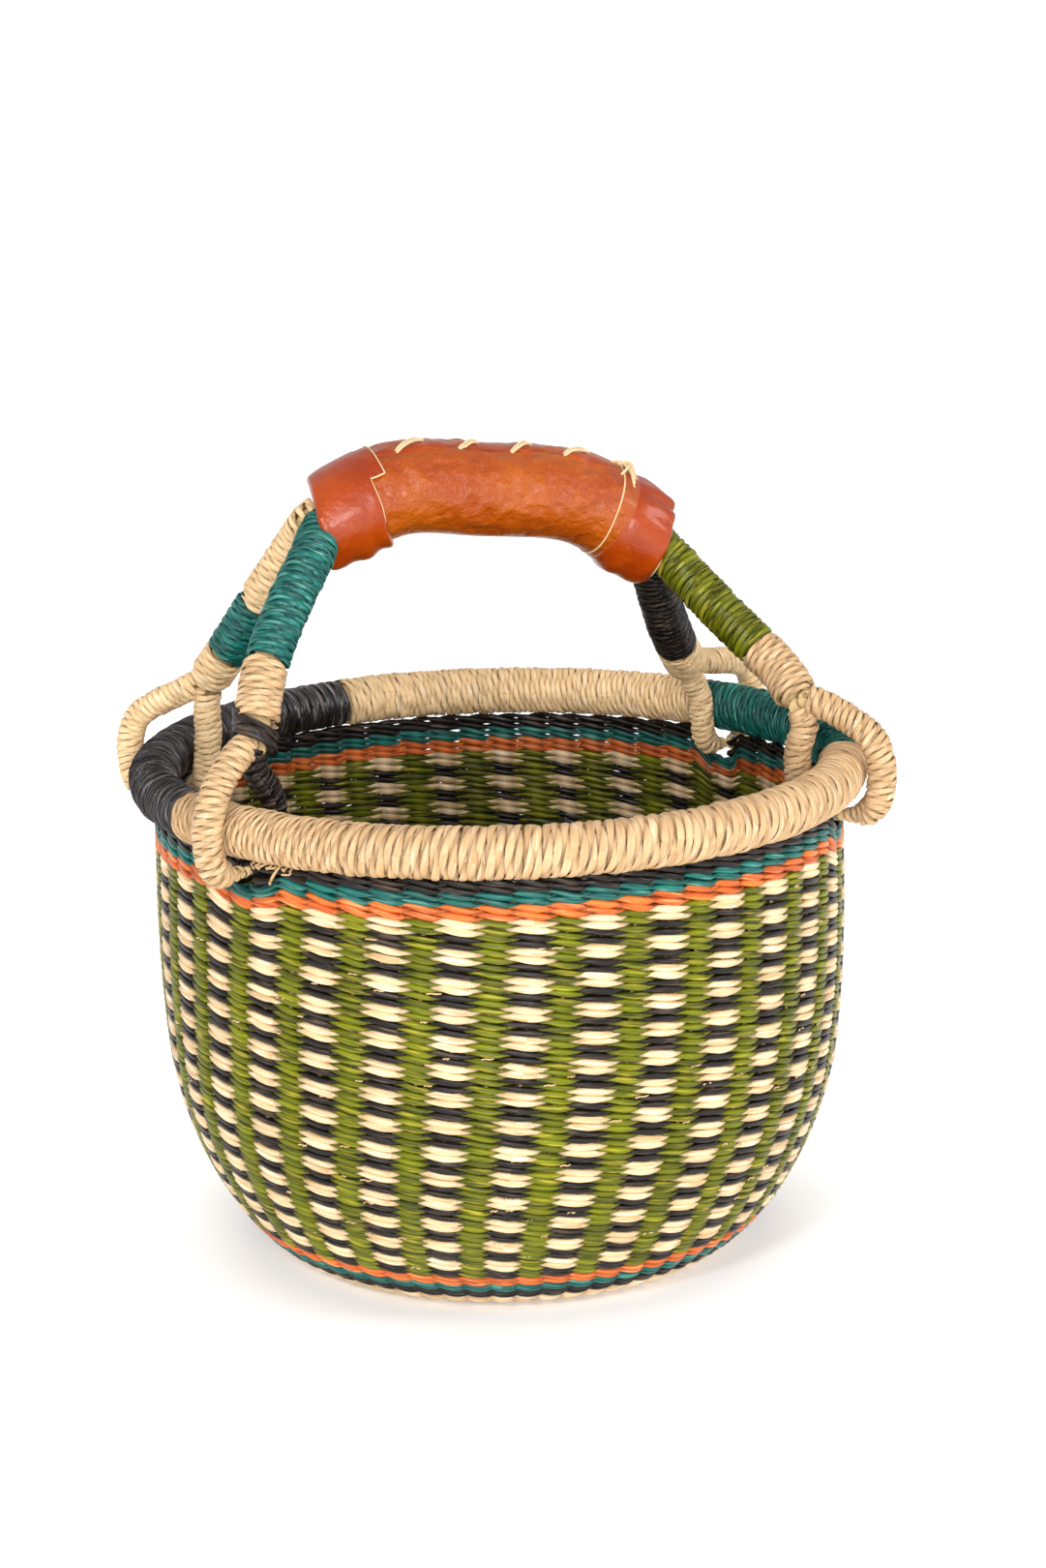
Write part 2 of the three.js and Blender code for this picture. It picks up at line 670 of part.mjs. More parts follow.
// Tab: the end of the left cuff's strap, lying on the leather
const tabSeat = onGrip(cuffLength + 2 * seatGap + tabLength / 2, tabAngle, seatGap + tabThickness / 2);
const tab = hide(handle, 'grip_tab', new THREE.BoxGeometry(tabLength, tabWidth, tabThickness), 'cuff');
tab.position.copy(tabSeat.place);
tab.setRotationFromMatrix(new THREE.Matrix4().makeBasis(
  tabSeat.along,
  tabSeat.outward.clone().cross(tabSeat.along),
  tabSeat.outward,
));

// Stems: shares of the way from the grip's end to the eye, along X, along Y and down
const stems = {
  front_left: { side: -1, routeShares: [[0.19, 0.22, 0.12], [0.53, 0.52, 0.37], [0.84, 0.8, 0.68]] },
  front_right: { side: -1, routeShares: [[0.26, 0.22, 0.25], [0.62, 0.56, 0.58], [0.9, 0.82, 0.83]] },
  back_left: { side: 1, routeShares: [[0.17, 0.2, 0.13], [0.53, 0.49, 0.47], [0.82, 0.78, 0.81]] },
  back_right: { side: 1, routeShares: [[0.14, 0.17, 0.26], [0.43, 0.42, 0.6], [0.76, 0.74, 0.86]] },
};

function stemRoute(name, gripEnd) {
  const end = stemEnd(eyes[name]);
  const route = stems[name].routeShares.map((shares) => new THREE.Vector3(
    THREE.MathUtils.lerp(gripEnd.x, end.x, shares[0]),
    THREE.MathUtils.lerp(gripEnd.y, end.y, shares[1]),
    THREE.MathUtils.lerp(gripEnd.z, end.z, shares[2]),
  ));
  return [...route, end];
}

// One bundle runs from a left eye through the grip to a right eye
function bundlePoints(front) {
  const side = front ? -1 : 1;
  const inside = gripPoints.map((point) => point.clone().setY(side * stemSpread));
  const left = stemRoute(front ? 'front_left' : 'back_left', inside[0]).reverse();
  const right = stemRoute(front ? 'front_right' : 'back_right', inside.at(-1));
  const all = [...left, ...inside, ...right];
  const curve = new THREE.CatmullRomCurve3(all, false, 'centripetal');
  const spans = all.length - 1;
  const points = [];
  for (let span = 0; span < spans; span += 1) {
    const inStem = span < left.length || span >= left.length + inside.length - 1;
    const steps = inStem ? stemSpanSteps : 1;
    for (let step = 0; step < steps; step += 1) {
      points.push(curve.getPoint((span + step / steps) / spans));
    }
  }
  points.push(all.at(-1));
  const stemSteps = left.length * stemSpanSteps;
  return {
    points,
    left: points.slice(0, stemSteps + 1).reverse(),
    right: points.slice(-stemSteps - 1),
  };
}

const coreLoop = [oval(stemCoreRadius, stemCoreRadius, stemCoreSides)];
const firstSide = new THREE.Vector3(0, 0, 1);
const frontBundle = bundlePoints(true);
const backBundle = bundlePoints(false);
straw(handle, 'bundle_front', pathBody(pathFrames(frontBundle.points, firstSide), () => coreLoop), 'grass');
straw(handle, 'bundle_back', pathBody(pathFrames(backBundle.points, firstSide), () => coreLoop), 'grass');

// The least distance between points of one cord that lie more than half a turn apart along it
function leastGap(geometry) {
  const position = geometry.getAttribute('position');
  const apart = Math.ceil(0.6 * cordSteps) * cordSides;
  let least = Infinity;
  for (let here = 0; here < position.count; here += 1) {
    for (let there = here + apart; there < position.count; there += 1) {
      least = Math.min(least, Math.hypot(
        position.getX(here) - position.getX(there),
        position.getY(here) - position.getY(there),
        position.getZ(here) - position.getZ(there),
      ));
    }
  }
  return least;
}

// Winding: one unbroken cord in a helix round a stem, its ends running straight on
function winding(stem, from, to) {
  const frames = pathFrames(pathSlice(stem, from, to), firstSide);
  const length = pathLength(frames.map(({ point }) => point));
  const turns = Math.floor((length - 2 * cordDiameter) / cordPitch);
  const helixRadius = stemCoreRadius + windingSeat + cordDiameter / 2;
  const slack = (length - turns * cordPitch) / 2;
  const centres = [];
  const outwards = [];
  for (let step = 0; step <= turns * cordSteps; step += 1) {
    const distance = slack + (step * cordPitch) / cordSteps;
    let travelled = 0;
    let index = 0;
    let span = frames[0].point.distanceTo(frames[1].point);
    while (travelled + span < distance && index + 2 < frames.length) {
      travelled += span;
      index += 1;
      span = frames[index].point.distanceTo(frames[index + 1].point);
    }
    const share = (distance - travelled) / span;
    const blend = (key) => frames[index][key].clone().lerp(frames[index + 1][key], share);
    const angle = (fullTurn * step) / cordSteps;
    const outward = blend('side').multiplyScalar(Math.cos(angle))
      .addScaledVector(blend('up'), Math.sin(angle))
      .normalize();
    centres.push(blend('point').addScaledVector(outward, helixRadius));
    outwards.push(outward);
  }
  const lead = (end, next) => centres.at(end).clone().sub(centres.at(next)).setLength(cordDiameter);
  centres.unshift(centres[0].clone().add(lead(0, 1)));
  centres.push(centres.at(-1).clone().add(lead(-1, -2)));
  outwards.unshift(outwards[0]);
  outwards.push(outwards.at(-1));
  const cordFrames = pathFrames(centres, outwards[0]);
  cordFrames.forEach((frame, station) => {
    frame.side = outwards[station].clone()
      .addScaledVector(frame.along, -outwards[station].dot(frame.along))
      .normalize();
    frame.up = frame.side.clone().cross(frame.along);
  });
  const half = cordDiameter / 2;
  const section = [[half, half], [-half, half], [-half, -half], [half, -half]]
    .map(([u, v]) => [u, cordFlatShare * v]);
  return { geometry: pathBody(cordFrames, () => [section]), turns };
}

function sleeve(stem, from, to, outer, inner) {
  const frames = pathFrames(pathSlice(stem, from, to), firstSide);
  const bore = boreRadius(inner, sleeveSides);
  return pathBody(frames, () => [oval(outer, outer, sleeveSides), oval(bore, bore, sleeveSides, true)]);
}

// Bindings of each stem, from the grip down: colour, share of the bound length where it ends, and form
const bindingShares = {
  front_left: [['teal', 0.72, 'winding'], ['natural', 1, 'sleeve']],
  front_right: [['green', 0.6, 'winding'], ['natural', 1, 'sleeve']],
  back_left: [['cream', 0.42, 'winding'], ['teal', 0.8, 'winding'], ['natural', 1, 'sleeve']],
  back_right: [['black', 0.68, 'winding'], ['natural', 1, 'sleeve']],
};
colours.cream = colours.natural;

for (const [name, list] of Object.entries(bindingShares)) {
  const bundle = name.startsWith('front') ? frontBundle : backBundle;
  const stem = name.endsWith('left') ? bundle.left : bundle.right;
  const bound = pathLength(stem) - windingInset - seatGap;
  let from = windingInset;
  for (const [colour, endShare, form] of list) {
    const to = windingInset + endShare * bound;
    const label = `stem_${name}_${colour}`;
    if (form === 'winding') {
      const { geometry, turns } = winding(stem, from, to - seatGap);
      console.log(`${label}: ${turns} turns, least gap to itself ${leastGap(geometry).toFixed(2)} mm`);
      straw(handle, label, geometry, colour);
    } else {
      straw(handle, label, sleeve(stem, from, to, stemRadius, stemCoreRadius + seatGap), colour);
    }
    from = to;
  }
}

// Black band tied round the front left stem where it divides
const bandStem = frontBundle.left;
const bandEnd = pathLength(bandStem) - 2 * seatGap;
const bandInner = stemRadius + seatGap;
straw(handle, 'throat_band', sleeve(
  bandStem, bandEnd - throatBandLength, bandEnd, bandInner + throatBandThickness, bandInner,
), 'black');

export default part;
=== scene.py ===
# %% [markdown]
# A bolga basket: a round market basket twined in dyed straw, with a roll rim and an arched handle
# that has a leather grip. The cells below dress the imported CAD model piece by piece, from the
# floor it stands on to the thong on its grip. Lengths are written in millimetres, as a maker
# would measure them, and turned into metres when a mesh is made.

# %% Load the fixed frame
import json
import math
import random

import bmesh
import bpy
import numpy as np
from mathutils import Matrix, Vector

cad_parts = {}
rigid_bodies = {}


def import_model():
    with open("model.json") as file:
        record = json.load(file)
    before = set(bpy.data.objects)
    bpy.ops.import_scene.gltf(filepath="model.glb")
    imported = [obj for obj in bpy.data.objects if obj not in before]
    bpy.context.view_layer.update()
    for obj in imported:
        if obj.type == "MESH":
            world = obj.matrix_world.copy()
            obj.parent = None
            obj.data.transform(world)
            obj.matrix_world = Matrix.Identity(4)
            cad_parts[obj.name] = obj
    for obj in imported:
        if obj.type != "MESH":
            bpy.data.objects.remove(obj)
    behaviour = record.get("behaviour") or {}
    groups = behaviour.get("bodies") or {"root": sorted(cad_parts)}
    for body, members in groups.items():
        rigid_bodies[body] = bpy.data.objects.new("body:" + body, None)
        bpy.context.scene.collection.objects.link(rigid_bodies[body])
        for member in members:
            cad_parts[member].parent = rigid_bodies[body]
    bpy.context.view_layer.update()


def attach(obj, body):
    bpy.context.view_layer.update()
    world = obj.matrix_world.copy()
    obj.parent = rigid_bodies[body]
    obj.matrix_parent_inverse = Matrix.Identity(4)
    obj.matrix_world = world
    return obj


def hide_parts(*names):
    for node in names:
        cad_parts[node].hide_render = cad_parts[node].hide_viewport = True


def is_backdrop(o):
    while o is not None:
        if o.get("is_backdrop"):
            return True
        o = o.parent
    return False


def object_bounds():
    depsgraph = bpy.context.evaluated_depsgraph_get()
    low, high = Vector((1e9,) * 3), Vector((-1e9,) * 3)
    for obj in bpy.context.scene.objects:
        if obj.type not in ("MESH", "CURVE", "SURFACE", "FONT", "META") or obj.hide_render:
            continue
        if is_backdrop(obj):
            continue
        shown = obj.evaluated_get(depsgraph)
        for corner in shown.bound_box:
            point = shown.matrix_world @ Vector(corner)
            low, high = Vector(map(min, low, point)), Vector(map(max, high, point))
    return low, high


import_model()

mm = 0.001
scene = bpy.context.scene

# %% [markdown]
# The camera stands a little left of the front and looks down at 14 degrees, as the photograph
# does. It has no shift: the small offset of the basket in the frame is made by aiming slightly
# beside it, so that other views stay true.

# %% Camera
look_at, camera_distance = Vector((0, 0, 0.202)), 1.6
camera_turn, camera_rise, camera_roll = (math.radians(angle) for angle in (-16, 13.6, 1.2))
focal_pixels, picture_tall, sensor = 4000, 1620, 36
picture_middle, basket_in_picture = (540.5, 810), (515, 790)


def view_axes(forward):
    right = forward.cross(Vector((0, 0, 1))).normalized()
    return right, right.cross(forward)


back = Vector((
    math.sin(camera_turn) * math.cos(camera_rise),
    -math.cos(camera_turn) * math.cos(camera_rise),
    math.sin(camera_rise),
))
camera_place = look_at + camera_distance * back
right, above = view_axes(-back)
aim_x = (basket_in_picture[0] - picture_middle[0]) / focal_pixels
aim_y = (picture_middle[1] - basket_in_picture[1]) / focal_pixels
roll_cos, roll_sin = math.cos(camera_roll), math.sin(camera_roll)
aim_x, aim_y = aim_x * roll_cos + aim_y * roll_sin, -aim_x * roll_sin + aim_y * roll_cos
forward = (-back - aim_x * right - aim_y * above).normalized()
right, above = view_axes(forward)
axes = (roll_cos * right - roll_sin * above, roll_sin * right + roll_cos * above, -forward, camera_place)
camera_data = bpy.data.cameras.new("camera")
camera_data.sensor_width = sensor
camera_data.lens = focal_pixels / picture_tall * sensor
camera = bpy.data.objects.new("camera", camera_data)
scene.collection.objects.link(camera)
camera.matrix_world = Matrix((*([axis[k] for axis in axes] for k in range(3)), (0, 0, 0, 1)))
scene.camera = camera
print("camera at", [round(v, 3) for v in camera_place], "lens", round(camera_data.lens, 2))

# %% [markdown]
# Two kinds of help are used all the way down: short ways to wire up a finish, and short ways to
# turn a form into a piece that says what it rides on and which plain solids it stands for.

# %% Finishes and pieces
class Wiring:
    """Short ways to add and join nodes in one tree."""

    def __init__(self, tree):
        self.nodes, self.links = tree.nodes, tree.links

    def add(self, kind, *values):
        """A node, with its first sockets joined or set in order."""
        node = self.nodes.new("ShaderNode" + kind)
        for socket, value in zip(node.inputs, values):
            self.give(socket, value)
        return node

    def give(self, socket, value):
        if isinstance(value, bpy.types.NodeSocket):
            self.links.new(value, socket)
        else:
            socket.default_value = value

    def feed(self, node, values):
        """Join or set a node's named sockets."""
        for label, value in values.items():
            self.give(node.inputs[label], value)
        return node

    def math(self, operation, a, b=0.5):
        node = self.add("Math", a, b)
        node.operation = operation
        return node.outputs[0]

    def times(self, a, b):
        return self.math("MULTIPLY", a, b)

    def plus(self, a, b):
        return self.math("ADD", a, b)

    def join(self, x, y, z):
        return self.add("CombineXYZ", x, y, z).outputs[0]

    def noise(self, vector, scale=1.0, detail=2.0, rough=0.5):
        node = self.feed(self.add("TexNoise", vector), {"Scale": scale, "Detail": detail, "Roughness": rough})
        return node.outputs["Fac"]

    def step(self, value, low, high, to_low=0.0, to_high=1.0, kind="LINEAR"):
        node = self.add("MapRange", value, low, high, to_low, to_high)
        node.interpolation_type = kind
        return node.outputs[0]

    def blend(self, factor, a, b, kind="MIX"):
        node = self.add("Mix", factor)
        node.data_type, node.blend_type = "RGBA", kind
        self.give(node.inputs[6], a)
        self.give(node.inputs[7], b)
        return node.outputs[2]

    def read(self, label):
        node = self.add("Attribute")
        node.attribute_name = label
        return node.outputs["Fac"]

    def spot(self, kind="Object"):
        return self.add("TexCoord").outputs[kind]

    def put_out(self, **values):
        self.feed(self.nodes.new("NodeGroupOutput"), values)

    def bump(self, height, strength, depth):
        node = self.feed(self.add("Bump"), {"Height": height, "Strength": strength, "Distance": depth * mm})
        return node.outputs["Normal"]


def plain_material(name):
    material = bpy.data.materials.new(name)
    material.use_nodes = True
    return material, Wiring(material.node_tree), material.node_tree.nodes["Principled BSDF"]


def mesh_of(name, form):
    mesh = bpy.data.meshes.new(name)
    form.to_mesh(mesh)
    form.free()
    return mesh


def finished(name, mesh, material, ends_open=False):
    """An object made of a mesh: its ends closed, its faces turned outwards and smooth, its finish on."""
    form = bmesh.new()
    form.from_mesh(mesh)
    if ends_open:
        bmesh.ops.holes_fill(form, edges=[edge for edge in form.edges if edge.is_boundary], sides=0)
    if form.calc_volume(signed=True) < 0:
        bmesh.ops.reverse_faces(form, faces=form.faces)
    for face in form.faces:
        face.smooth = True
    form.to_mesh(mesh)
    form.free()
    mesh.materials.clear()
    mesh.materials.append(material)
    mesh.name = name
    piece = bpy.data.objects.new(name, mesh)
    scene.collection.objects.link(piece)
    return piece


def dress(piece, body, *nodes, slot_name=None):
    """Say what a piece rides on and which nodes it replaces. Its slot_name is not used."""
    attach(piece, body)
    if nodes:
        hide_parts(*nodes)
    return piece


def tris(*pieces):
    return [sum(len(face.vertices) - 2 for face in piece.data.polygons) for piece in pieces]


print("helpers for finishes and pieces ready")

# %% [markdown]
# The photograph was taken on white paper under broad, even light, so the floor is a wide pale
# sheet and the world itself is white. Three large soft lamps give the straw its gentle shading: the
# strongest two stand at the front and the front left, and a weaker one keeps the right side open.
# The paper glows a little, which is painted light, and glows less where the basket covers it, which paints a
# soft shadow round the base.

# %% Floor and light
paper, wire, surface = plain_material("paper_floor")
reach = wire.add("VectorMath", wire.spot())
reach.operation = "LENGTH"
# Painted light and shadow: the paper's glow rises from 0.4 to full between 90 and 190 mm from the basket's
# axis.
wire.feed(surface, {
    "Base Color": wire.blend(wire.noise(wire.spot(), 3.0), (0.86, 0.86, 0.86, 1), (0.9, 0.9, 0.9, 1)),
    "Emission Color": wire.step(reach.outputs["Value"], 0.09, 0.19, 0.4, 1.0, "SMOOTHSTEP"),
    "Emission Strength": 0.52, "Roughness": 0.9})

form = bmesh.new()
bmesh.ops.create_grid(form, x_segments=1, y_segments=1, size=60)
floor = finished("floor", mesh_of("floor", form), paper)
floor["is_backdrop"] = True

world = bpy.data.worlds.new("studio")
world.use_nodes = True
wire = Wiring(world.node_tree)
sky_height = wire.add("SeparateXYZ", wire.spot("Generated")).outputs["Z"]
sky_light = wire.step(sky_height, 0.1, 0.9, 0.8, 0.6)
wire.feed(wire.nodes["Background"], {"Color": (1, 1, 1, 1), "Strength": sky_light})
scene.world = world
scene.view_settings.view_transform = "Standard"

for name, place, size, watts in (
        ("lamp_front_left", (-1.4, -2.0, 1.6), 0.5, 27),
        ("lamp_right", (2.0, -1.4, 1.3), 0.7, 14),
        ("lamp_front", (-0.3, -2.6, 0.8), 1.0, 33)):
    light = bpy.data.lights.new(name, "AREA")
    light.shape, light.size, light.energy = "DISK", size, watts
    lamp = bpy.data.objects.new(name, light)
    lamp.location = place
    lamp.rotation_euler = (look_at - Vector(place)).to_track_quat("-Z", "Y").to_euler()
    scene.collection.objects.link(lamp)

# %% [markdown]
# Everything on this basket except the leather is straw: flat strands, or cords twisted from two
# plies. Both are made the same way: a line of points is given a small cross-section as its bevel,
# and each line's thickness and twist change from point to point. The line is then turned into a
# mesh whose UV runs in metres along and around the strand, so that one straw finish suits all.

# %% Strands and cords
def section(name, points):
    """A closed cross-section in mm, drawn clockwise so that the strand's faces point outwards."""
    curve = bpy.data.curves.new(name, "CURVE")
    curve.dimensions = "2D"
    spline = curve.splines.new("POLY")
    spline.points.add(len(points) - 1)
    for point, (x, y) in zip(spline.points, points):
        point.co = (x * mm, y * mm, 0, 1)
    spline.use_cyclic_u = True
    shape = bpy.data.objects.new(name, curve)
    scene.collection.objects.link(shape)
    around = sum(math.dist(points[i], points[i - 1]) for i in range(len(points))) * mm
    return shape, len(points), around


def oval(name, across, tall, sides):
    angles = [-2 * math.pi * i / sides for i in range(sides)]
    return section(name, [(across / 2 * math.cos(angle), tall / 2 * math.sin(angle)) for angle in angles])


def spread(line, label, usual):
    return np.broadcast_to(line.get(label, usual), len(line["points"])).astype(float)


def strands(name, lines, cross_section, material, body, *nodes, closed=False, twist="TANGENT"):
    """One piece from many lines. A line has points in mm, and may have size, tilt, tone and tuck; the straw
    finish darkens a strand by its tuck, which is painted shade. With an outward direction for each point, its
    section is also pressed: deep across the face, tall along it."""
    shape, sides, around = cross_section
    curve = bpy.data.curves.new(name, "CURVE")
    curve.dimensions = "3D"
    curve.twist_mode = twist
    curve.bevel_mode = "OBJECT"
    curve.bevel_object = shape
    for line in lines:
        points = np.asarray(line["points"], float) * mm
        spline = curve.splines.new("POLY")
        spline.points.add(len(points) - 1)
        spline.points.foreach_set("co", np.c_[points, np.ones(len(points))].ravel())
        spline.points.foreach_set("radius", spread(line, "size", 1.0))
        spline.points.foreach_set("tilt", spread(line, "tilt", 0.0))
        spline.use_cyclic_u = closed
    drawn = bpy.data.objects.new(name, curve)
    scene.collection.objects.link(drawn)
    graph = bpy.context.evaluated_depsgraph_get()
    mesh = bpy.data.meshes.new_from_object(drawn.evaluated_get(graph), depsgraph=graph)
    bpy.data.objects.remove(drawn)
    bpy.data.curves.remove(curve)
    if "outward" in lines[0]:
        spots = np.empty(len(mesh.vertices) * 3)
        mesh.vertices.foreach_get("co", spots)
        each = lambda label: np.repeat(np.concatenate([line[label] for line in lines]), sides, axis=0)
        middle, outward = each("points") * mm, each("outward")
        offset = spots.reshape(-1, 3) - middle
        across = np.sum(offset * outward, axis=1)[:, None] * outward
        spots = middle + across * each("deep")[:, None] + (offset - across) * each("tall")[:, None]
        mesh.vertices.foreach_set("co", spots.ravel())

    corners = np.empty(len(mesh.loops) * 2)
    layer = mesh.uv_layers[0]
    layer.uv.foreach_get("vector", corners)
    corners = corners.reshape(-1, 2)
    first = 0
    for line in lines:
        points = np.asarray(line["points"], float)
        along = lengths(np.vstack([points, points[:1]]) if closed else points) * mm
        last = first + (len(along) - 1) * sides * 4
        place = corners[first:last, 0] * (len(along) - 1)
        corners[first:last, 0] = np.interp(place, np.arange(len(along)), along) + line.get("shift", 0)
        first = last
    corners[:, 1] *= around
    layer.uv.foreach_set("vector", corners.ravel())
    for label, usual in (("tone", 0.5), ("tuck", 0.0)):
        values = np.concatenate([np.repeat(spread(line, label, usual), sides) for line in lines])
        mesh.attributes.new(label, "FLOAT", "POINT").data.foreach_set("value", values)
    return dress(finished(name, mesh, material, ends_open=not closed), body, *nodes)


def lengths(points):
    return np.r_[0, np.cumsum(np.linalg.norm(np.diff(points, axis=0), axis=1))]


print("strand helpers ready")

# %% [markdown]
# Measuring helpers: a smooth line through a few points, as a maker would bend a grass bundle
# through them, and a steady pair of directions along such a line, to wind cord round it.

# %% Smooth lines and windings
def smooth_line(points, count):
    """Evenly spaced points on a curve through the given ones, which bends without overshooting."""
    given = np.asarray(points, float)
    given = np.vstack([2 * given[0] - given[1], given, 2 * given[-1] - given[-2]])
    pieces = []
    for i in range(1, len(given) - 2):
        p = given[i - 1:i + 3]
        t = np.r_[0, np.cumsum(np.maximum(np.linalg.norm(np.diff(p, axis=0), axis=1), 1e-6) ** 0.5)]
        u = np.linspace(t[1], t[2], 60, endpoint=i == len(given) - 3)[:, None]
        a = [((t[k + 1] - u) * p[k] + (u - t[k]) * p[k + 1]) / (t[k + 1] - t[k]) for k in range(3)]
        b = [((t[k + 2] - u) * a[k] + (u - t[k]) * a[k + 1]) / (t[k + 2] - t[k]) for k in range(2)]
        pieces.append(((t[2] - u) * b[0] + (u - t[1]) * b[1]) / (t[2] - t[1]))
    fine = np.vstack(pieces)
    along = lengths(fine)
    return picked(np.linspace(0, along[-1], count), along, fine)


def picked(at, along, table):
    """The rows of a table at the given distances along it."""
    return np.stack([np.interp(at, along, column) for column in table.T], axis=-1)


def line_ways(points):
    ways = np.gradient(points, axis=0)
    return ways / np.linalg.norm(ways, axis=1)[:, None]


def steady_sides(points, first_side):
    """Two directions across a line that turn with it and never spin round it."""
    along = line_ways(points)
    side = np.asarray(first_side, float)
    sides = []
    for direction in along:
        side = side - direction * side.dot(direction)
        side = side / np.linalg.norm(side)
        sides.append(side)
    return np.array(sides), np.cross(along, sides)


def winding(path, radius, pitch, start, end, steps, first_side, seed, turn, wobble, slant):
    """A cord's line wound round a path: its radius may be a number or a function of the distance."""
    dice = np.random.default_rng(seed)
    distance = lengths(path)
    side, other = steady_sides(path, first_side)
    turns = abs(end - start) / pitch
    count = max(int(turns * steps), 8)
    angle = np.linspace(0, 2 * math.pi * turns, count)
    knots = np.arange(int(turns) + 3)
    half_knots = np.arange(2 * len(knots))
    at = np.linspace(start, end, count)
    at = at + np.interp(angle / (2 * math.pi), knots, dice.normal(0, wobble * pitch, len(knots)))
    round_side, round_other = np.cos(turn * angle), np.sin(turn * angle)
    lean = [np.interp(at, distance, across @ slant) for across in (side, other)]
    at = at + lean[0] * round_side + lean[1] * round_other
    reach = np.array([radius(d) for d in at]) if callable(radius) else np.full(count, float(radius))
    reach = reach + np.interp(angle / math.pi, half_knots, dice.normal(0, wobble * 2, len(half_knots)))
    middle, a, b = (picked(at, distance, table) for table in (path, side, other))
    outward = round_side[:, None] * a + round_other[:, None] * b
    nearest = np.minimum((angle / (2 * math.pi) + 0.5).astype(int), len(knots))
    tone = dice.random(len(knots) + 1)[nearest]
    return dict(points=middle + reach[:, None] * outward, tone=tone, outward=outward, onward=np.cross(a, b))


def round_axis(radial, azimuth, height):
    """Points round the basket's upright axis."""
    return np.stack(np.broadcast_arrays(radial * np.cos(azimuth), radial * np.sin(azimuth), height), axis=-1)


print("line helpers ready")

# %% [markdown]
# Straw finish. Dyed straw has fine fibres along its length and a few lighter flecks where the dye missed. Its
# colour is also darkened where it dives under its neighbour, which is painted shade. All colours share this,
# so it is one node group with the three shades of each colour as inputs; the gloss stays in each material.

# %% Straw finish
white, dark = (1, 1, 1, 1), (0, 0, 0, 1)


def shade(*values):
    """A colour read off the piece in screen values, turned into the linear values nodes use."""
    shares = [value / 255 for value in values]
    return (*(v / 12.92 if v <= 0.04045 else ((v + 0.055) / 1.055) ** 2.4 for v in shares), 1.0)


def finish_group(name, inputs):
    """A node group that puts out a colour, a roughness and a height, and what comes in to it."""
    tree = bpy.data.node_groups.new(name, "ShaderNodeTree")
    for label, value in inputs.items():
        kind = "NodeSocketFloat" if isinstance(value, float) else "NodeSocketColor"
        tree.interface.new_socket(label, in_out="INPUT", socket_type=kind).default_value = value
    for label, kind in (("Color", "Color"), ("Roughness", "Float"), ("Height", "Float")):
        tree.interface.new_socket(label, in_out="OUTPUT", socket_type="NodeSocket" + kind)
    return tree, Wiring(tree), tree.nodes.new("NodeGroupInput").outputs


def grouped_finish(name, tree, inputs, relief, depth, gloss):
    """A material made from a shared group, with its own bump (its depth in mm) and its own gloss."""
    material, wire, surface = plain_material(name)
    node = wire.add("Group")
    node.node_tree = tree
    wire.feed(node, {label: shade(*v) if isinstance(v, tuple) else v for label, v in inputs.items()})
    made = node.outputs
    wire.feed(surface, {"Base Color": made["Color"], "Roughness": made["Roughness"],
                        "Normal": wire.bump(made["Height"], relief, depth), **gloss})
    return material


straw_tree, wire, given = finish_group("straw", {
    "Color": white, "Light": white, "Dark": dark,
    "Fibres": 900.0, "Flecks": 0.3, "Tone Range": 0.3, "Lines": 0.55})
strand_uv = wire.add("UVMap")
strand_uv.uv_map = "UVMap"
along_straw, across_straw, _ = wire.add("SeparateXYZ", strand_uv.outputs[0]).outputs
tone, tuck = wire.read("tone"), wire.read("tuck")
own = wire.times(tone, 37.0)
fibre = wire.noise(wire.join(wire.times(along_straw, 70.0), wire.times(across_straw, given["Fibres"]), own))
patch = wire.noise(wire.join(wire.times(along_straw, 45.0), wire.times(across_straw, 260.0), own), detail=1.0)
fleck = wire.step(wire.plus(fibre, wire.times(patch, 0.35)), 0.74, 0.86)
body = wire.blend(wire.step(patch, 0.35, 0.65), given["Color"], given["Dark"])
body = wire.blend(wire.step(fibre, 0.38, 0.66, 0.0, 0.75), body, given["Color"])
straws = wire.math("ABSOLUTE", wire.math(
    "SINE", wire.plus(wire.times(across_straw, 2900.0), wire.times(patch, 3.0))))
body = wire.blend(wire.step(straws, 0.0, 0.32, given["Lines"], 0.0), body, given["Dark"])
body = wire.blend(wire.times(fleck, given["Flecks"]), body, given["Light"])
# Painted shade: the colour is darkened by up to 0.6 by the tuck, how far the strand lies under its neighbour.
open_light = wire.math("SUBTRACT", 1.0, wire.times(tuck, 0.6))
even = wire.plus(1.0, wire.times(wire.math("SUBTRACT", tone, 0.5), given["Tone Range"]))
bright = wire.times(open_light, even)
wire.put_out(
    Color=wire.blend(1.0, body, wire.join(bright, bright, bright), "MULTIPLY"),
    Roughness=wire.step(fibre, 0.3, 0.7, 0.26, 0.5),
    Height=wire.plus(wire.times(straws, 0.6), wire.times(fibre, 0.7)))


def straw(name, color, light, dark, flecks, tones, fibres=900.0, relief=0.35, gloss=0.2, lines=0.55):
    return grouped_finish(name, straw_tree, {
        "Color": color, "Light": light, "Dark": dark, "Flecks": flecks, "Tone Range": tones,
        "Fibres": fibres, "Lines": lines}, relief, 0.4, {"Specular IOR Level": gloss})


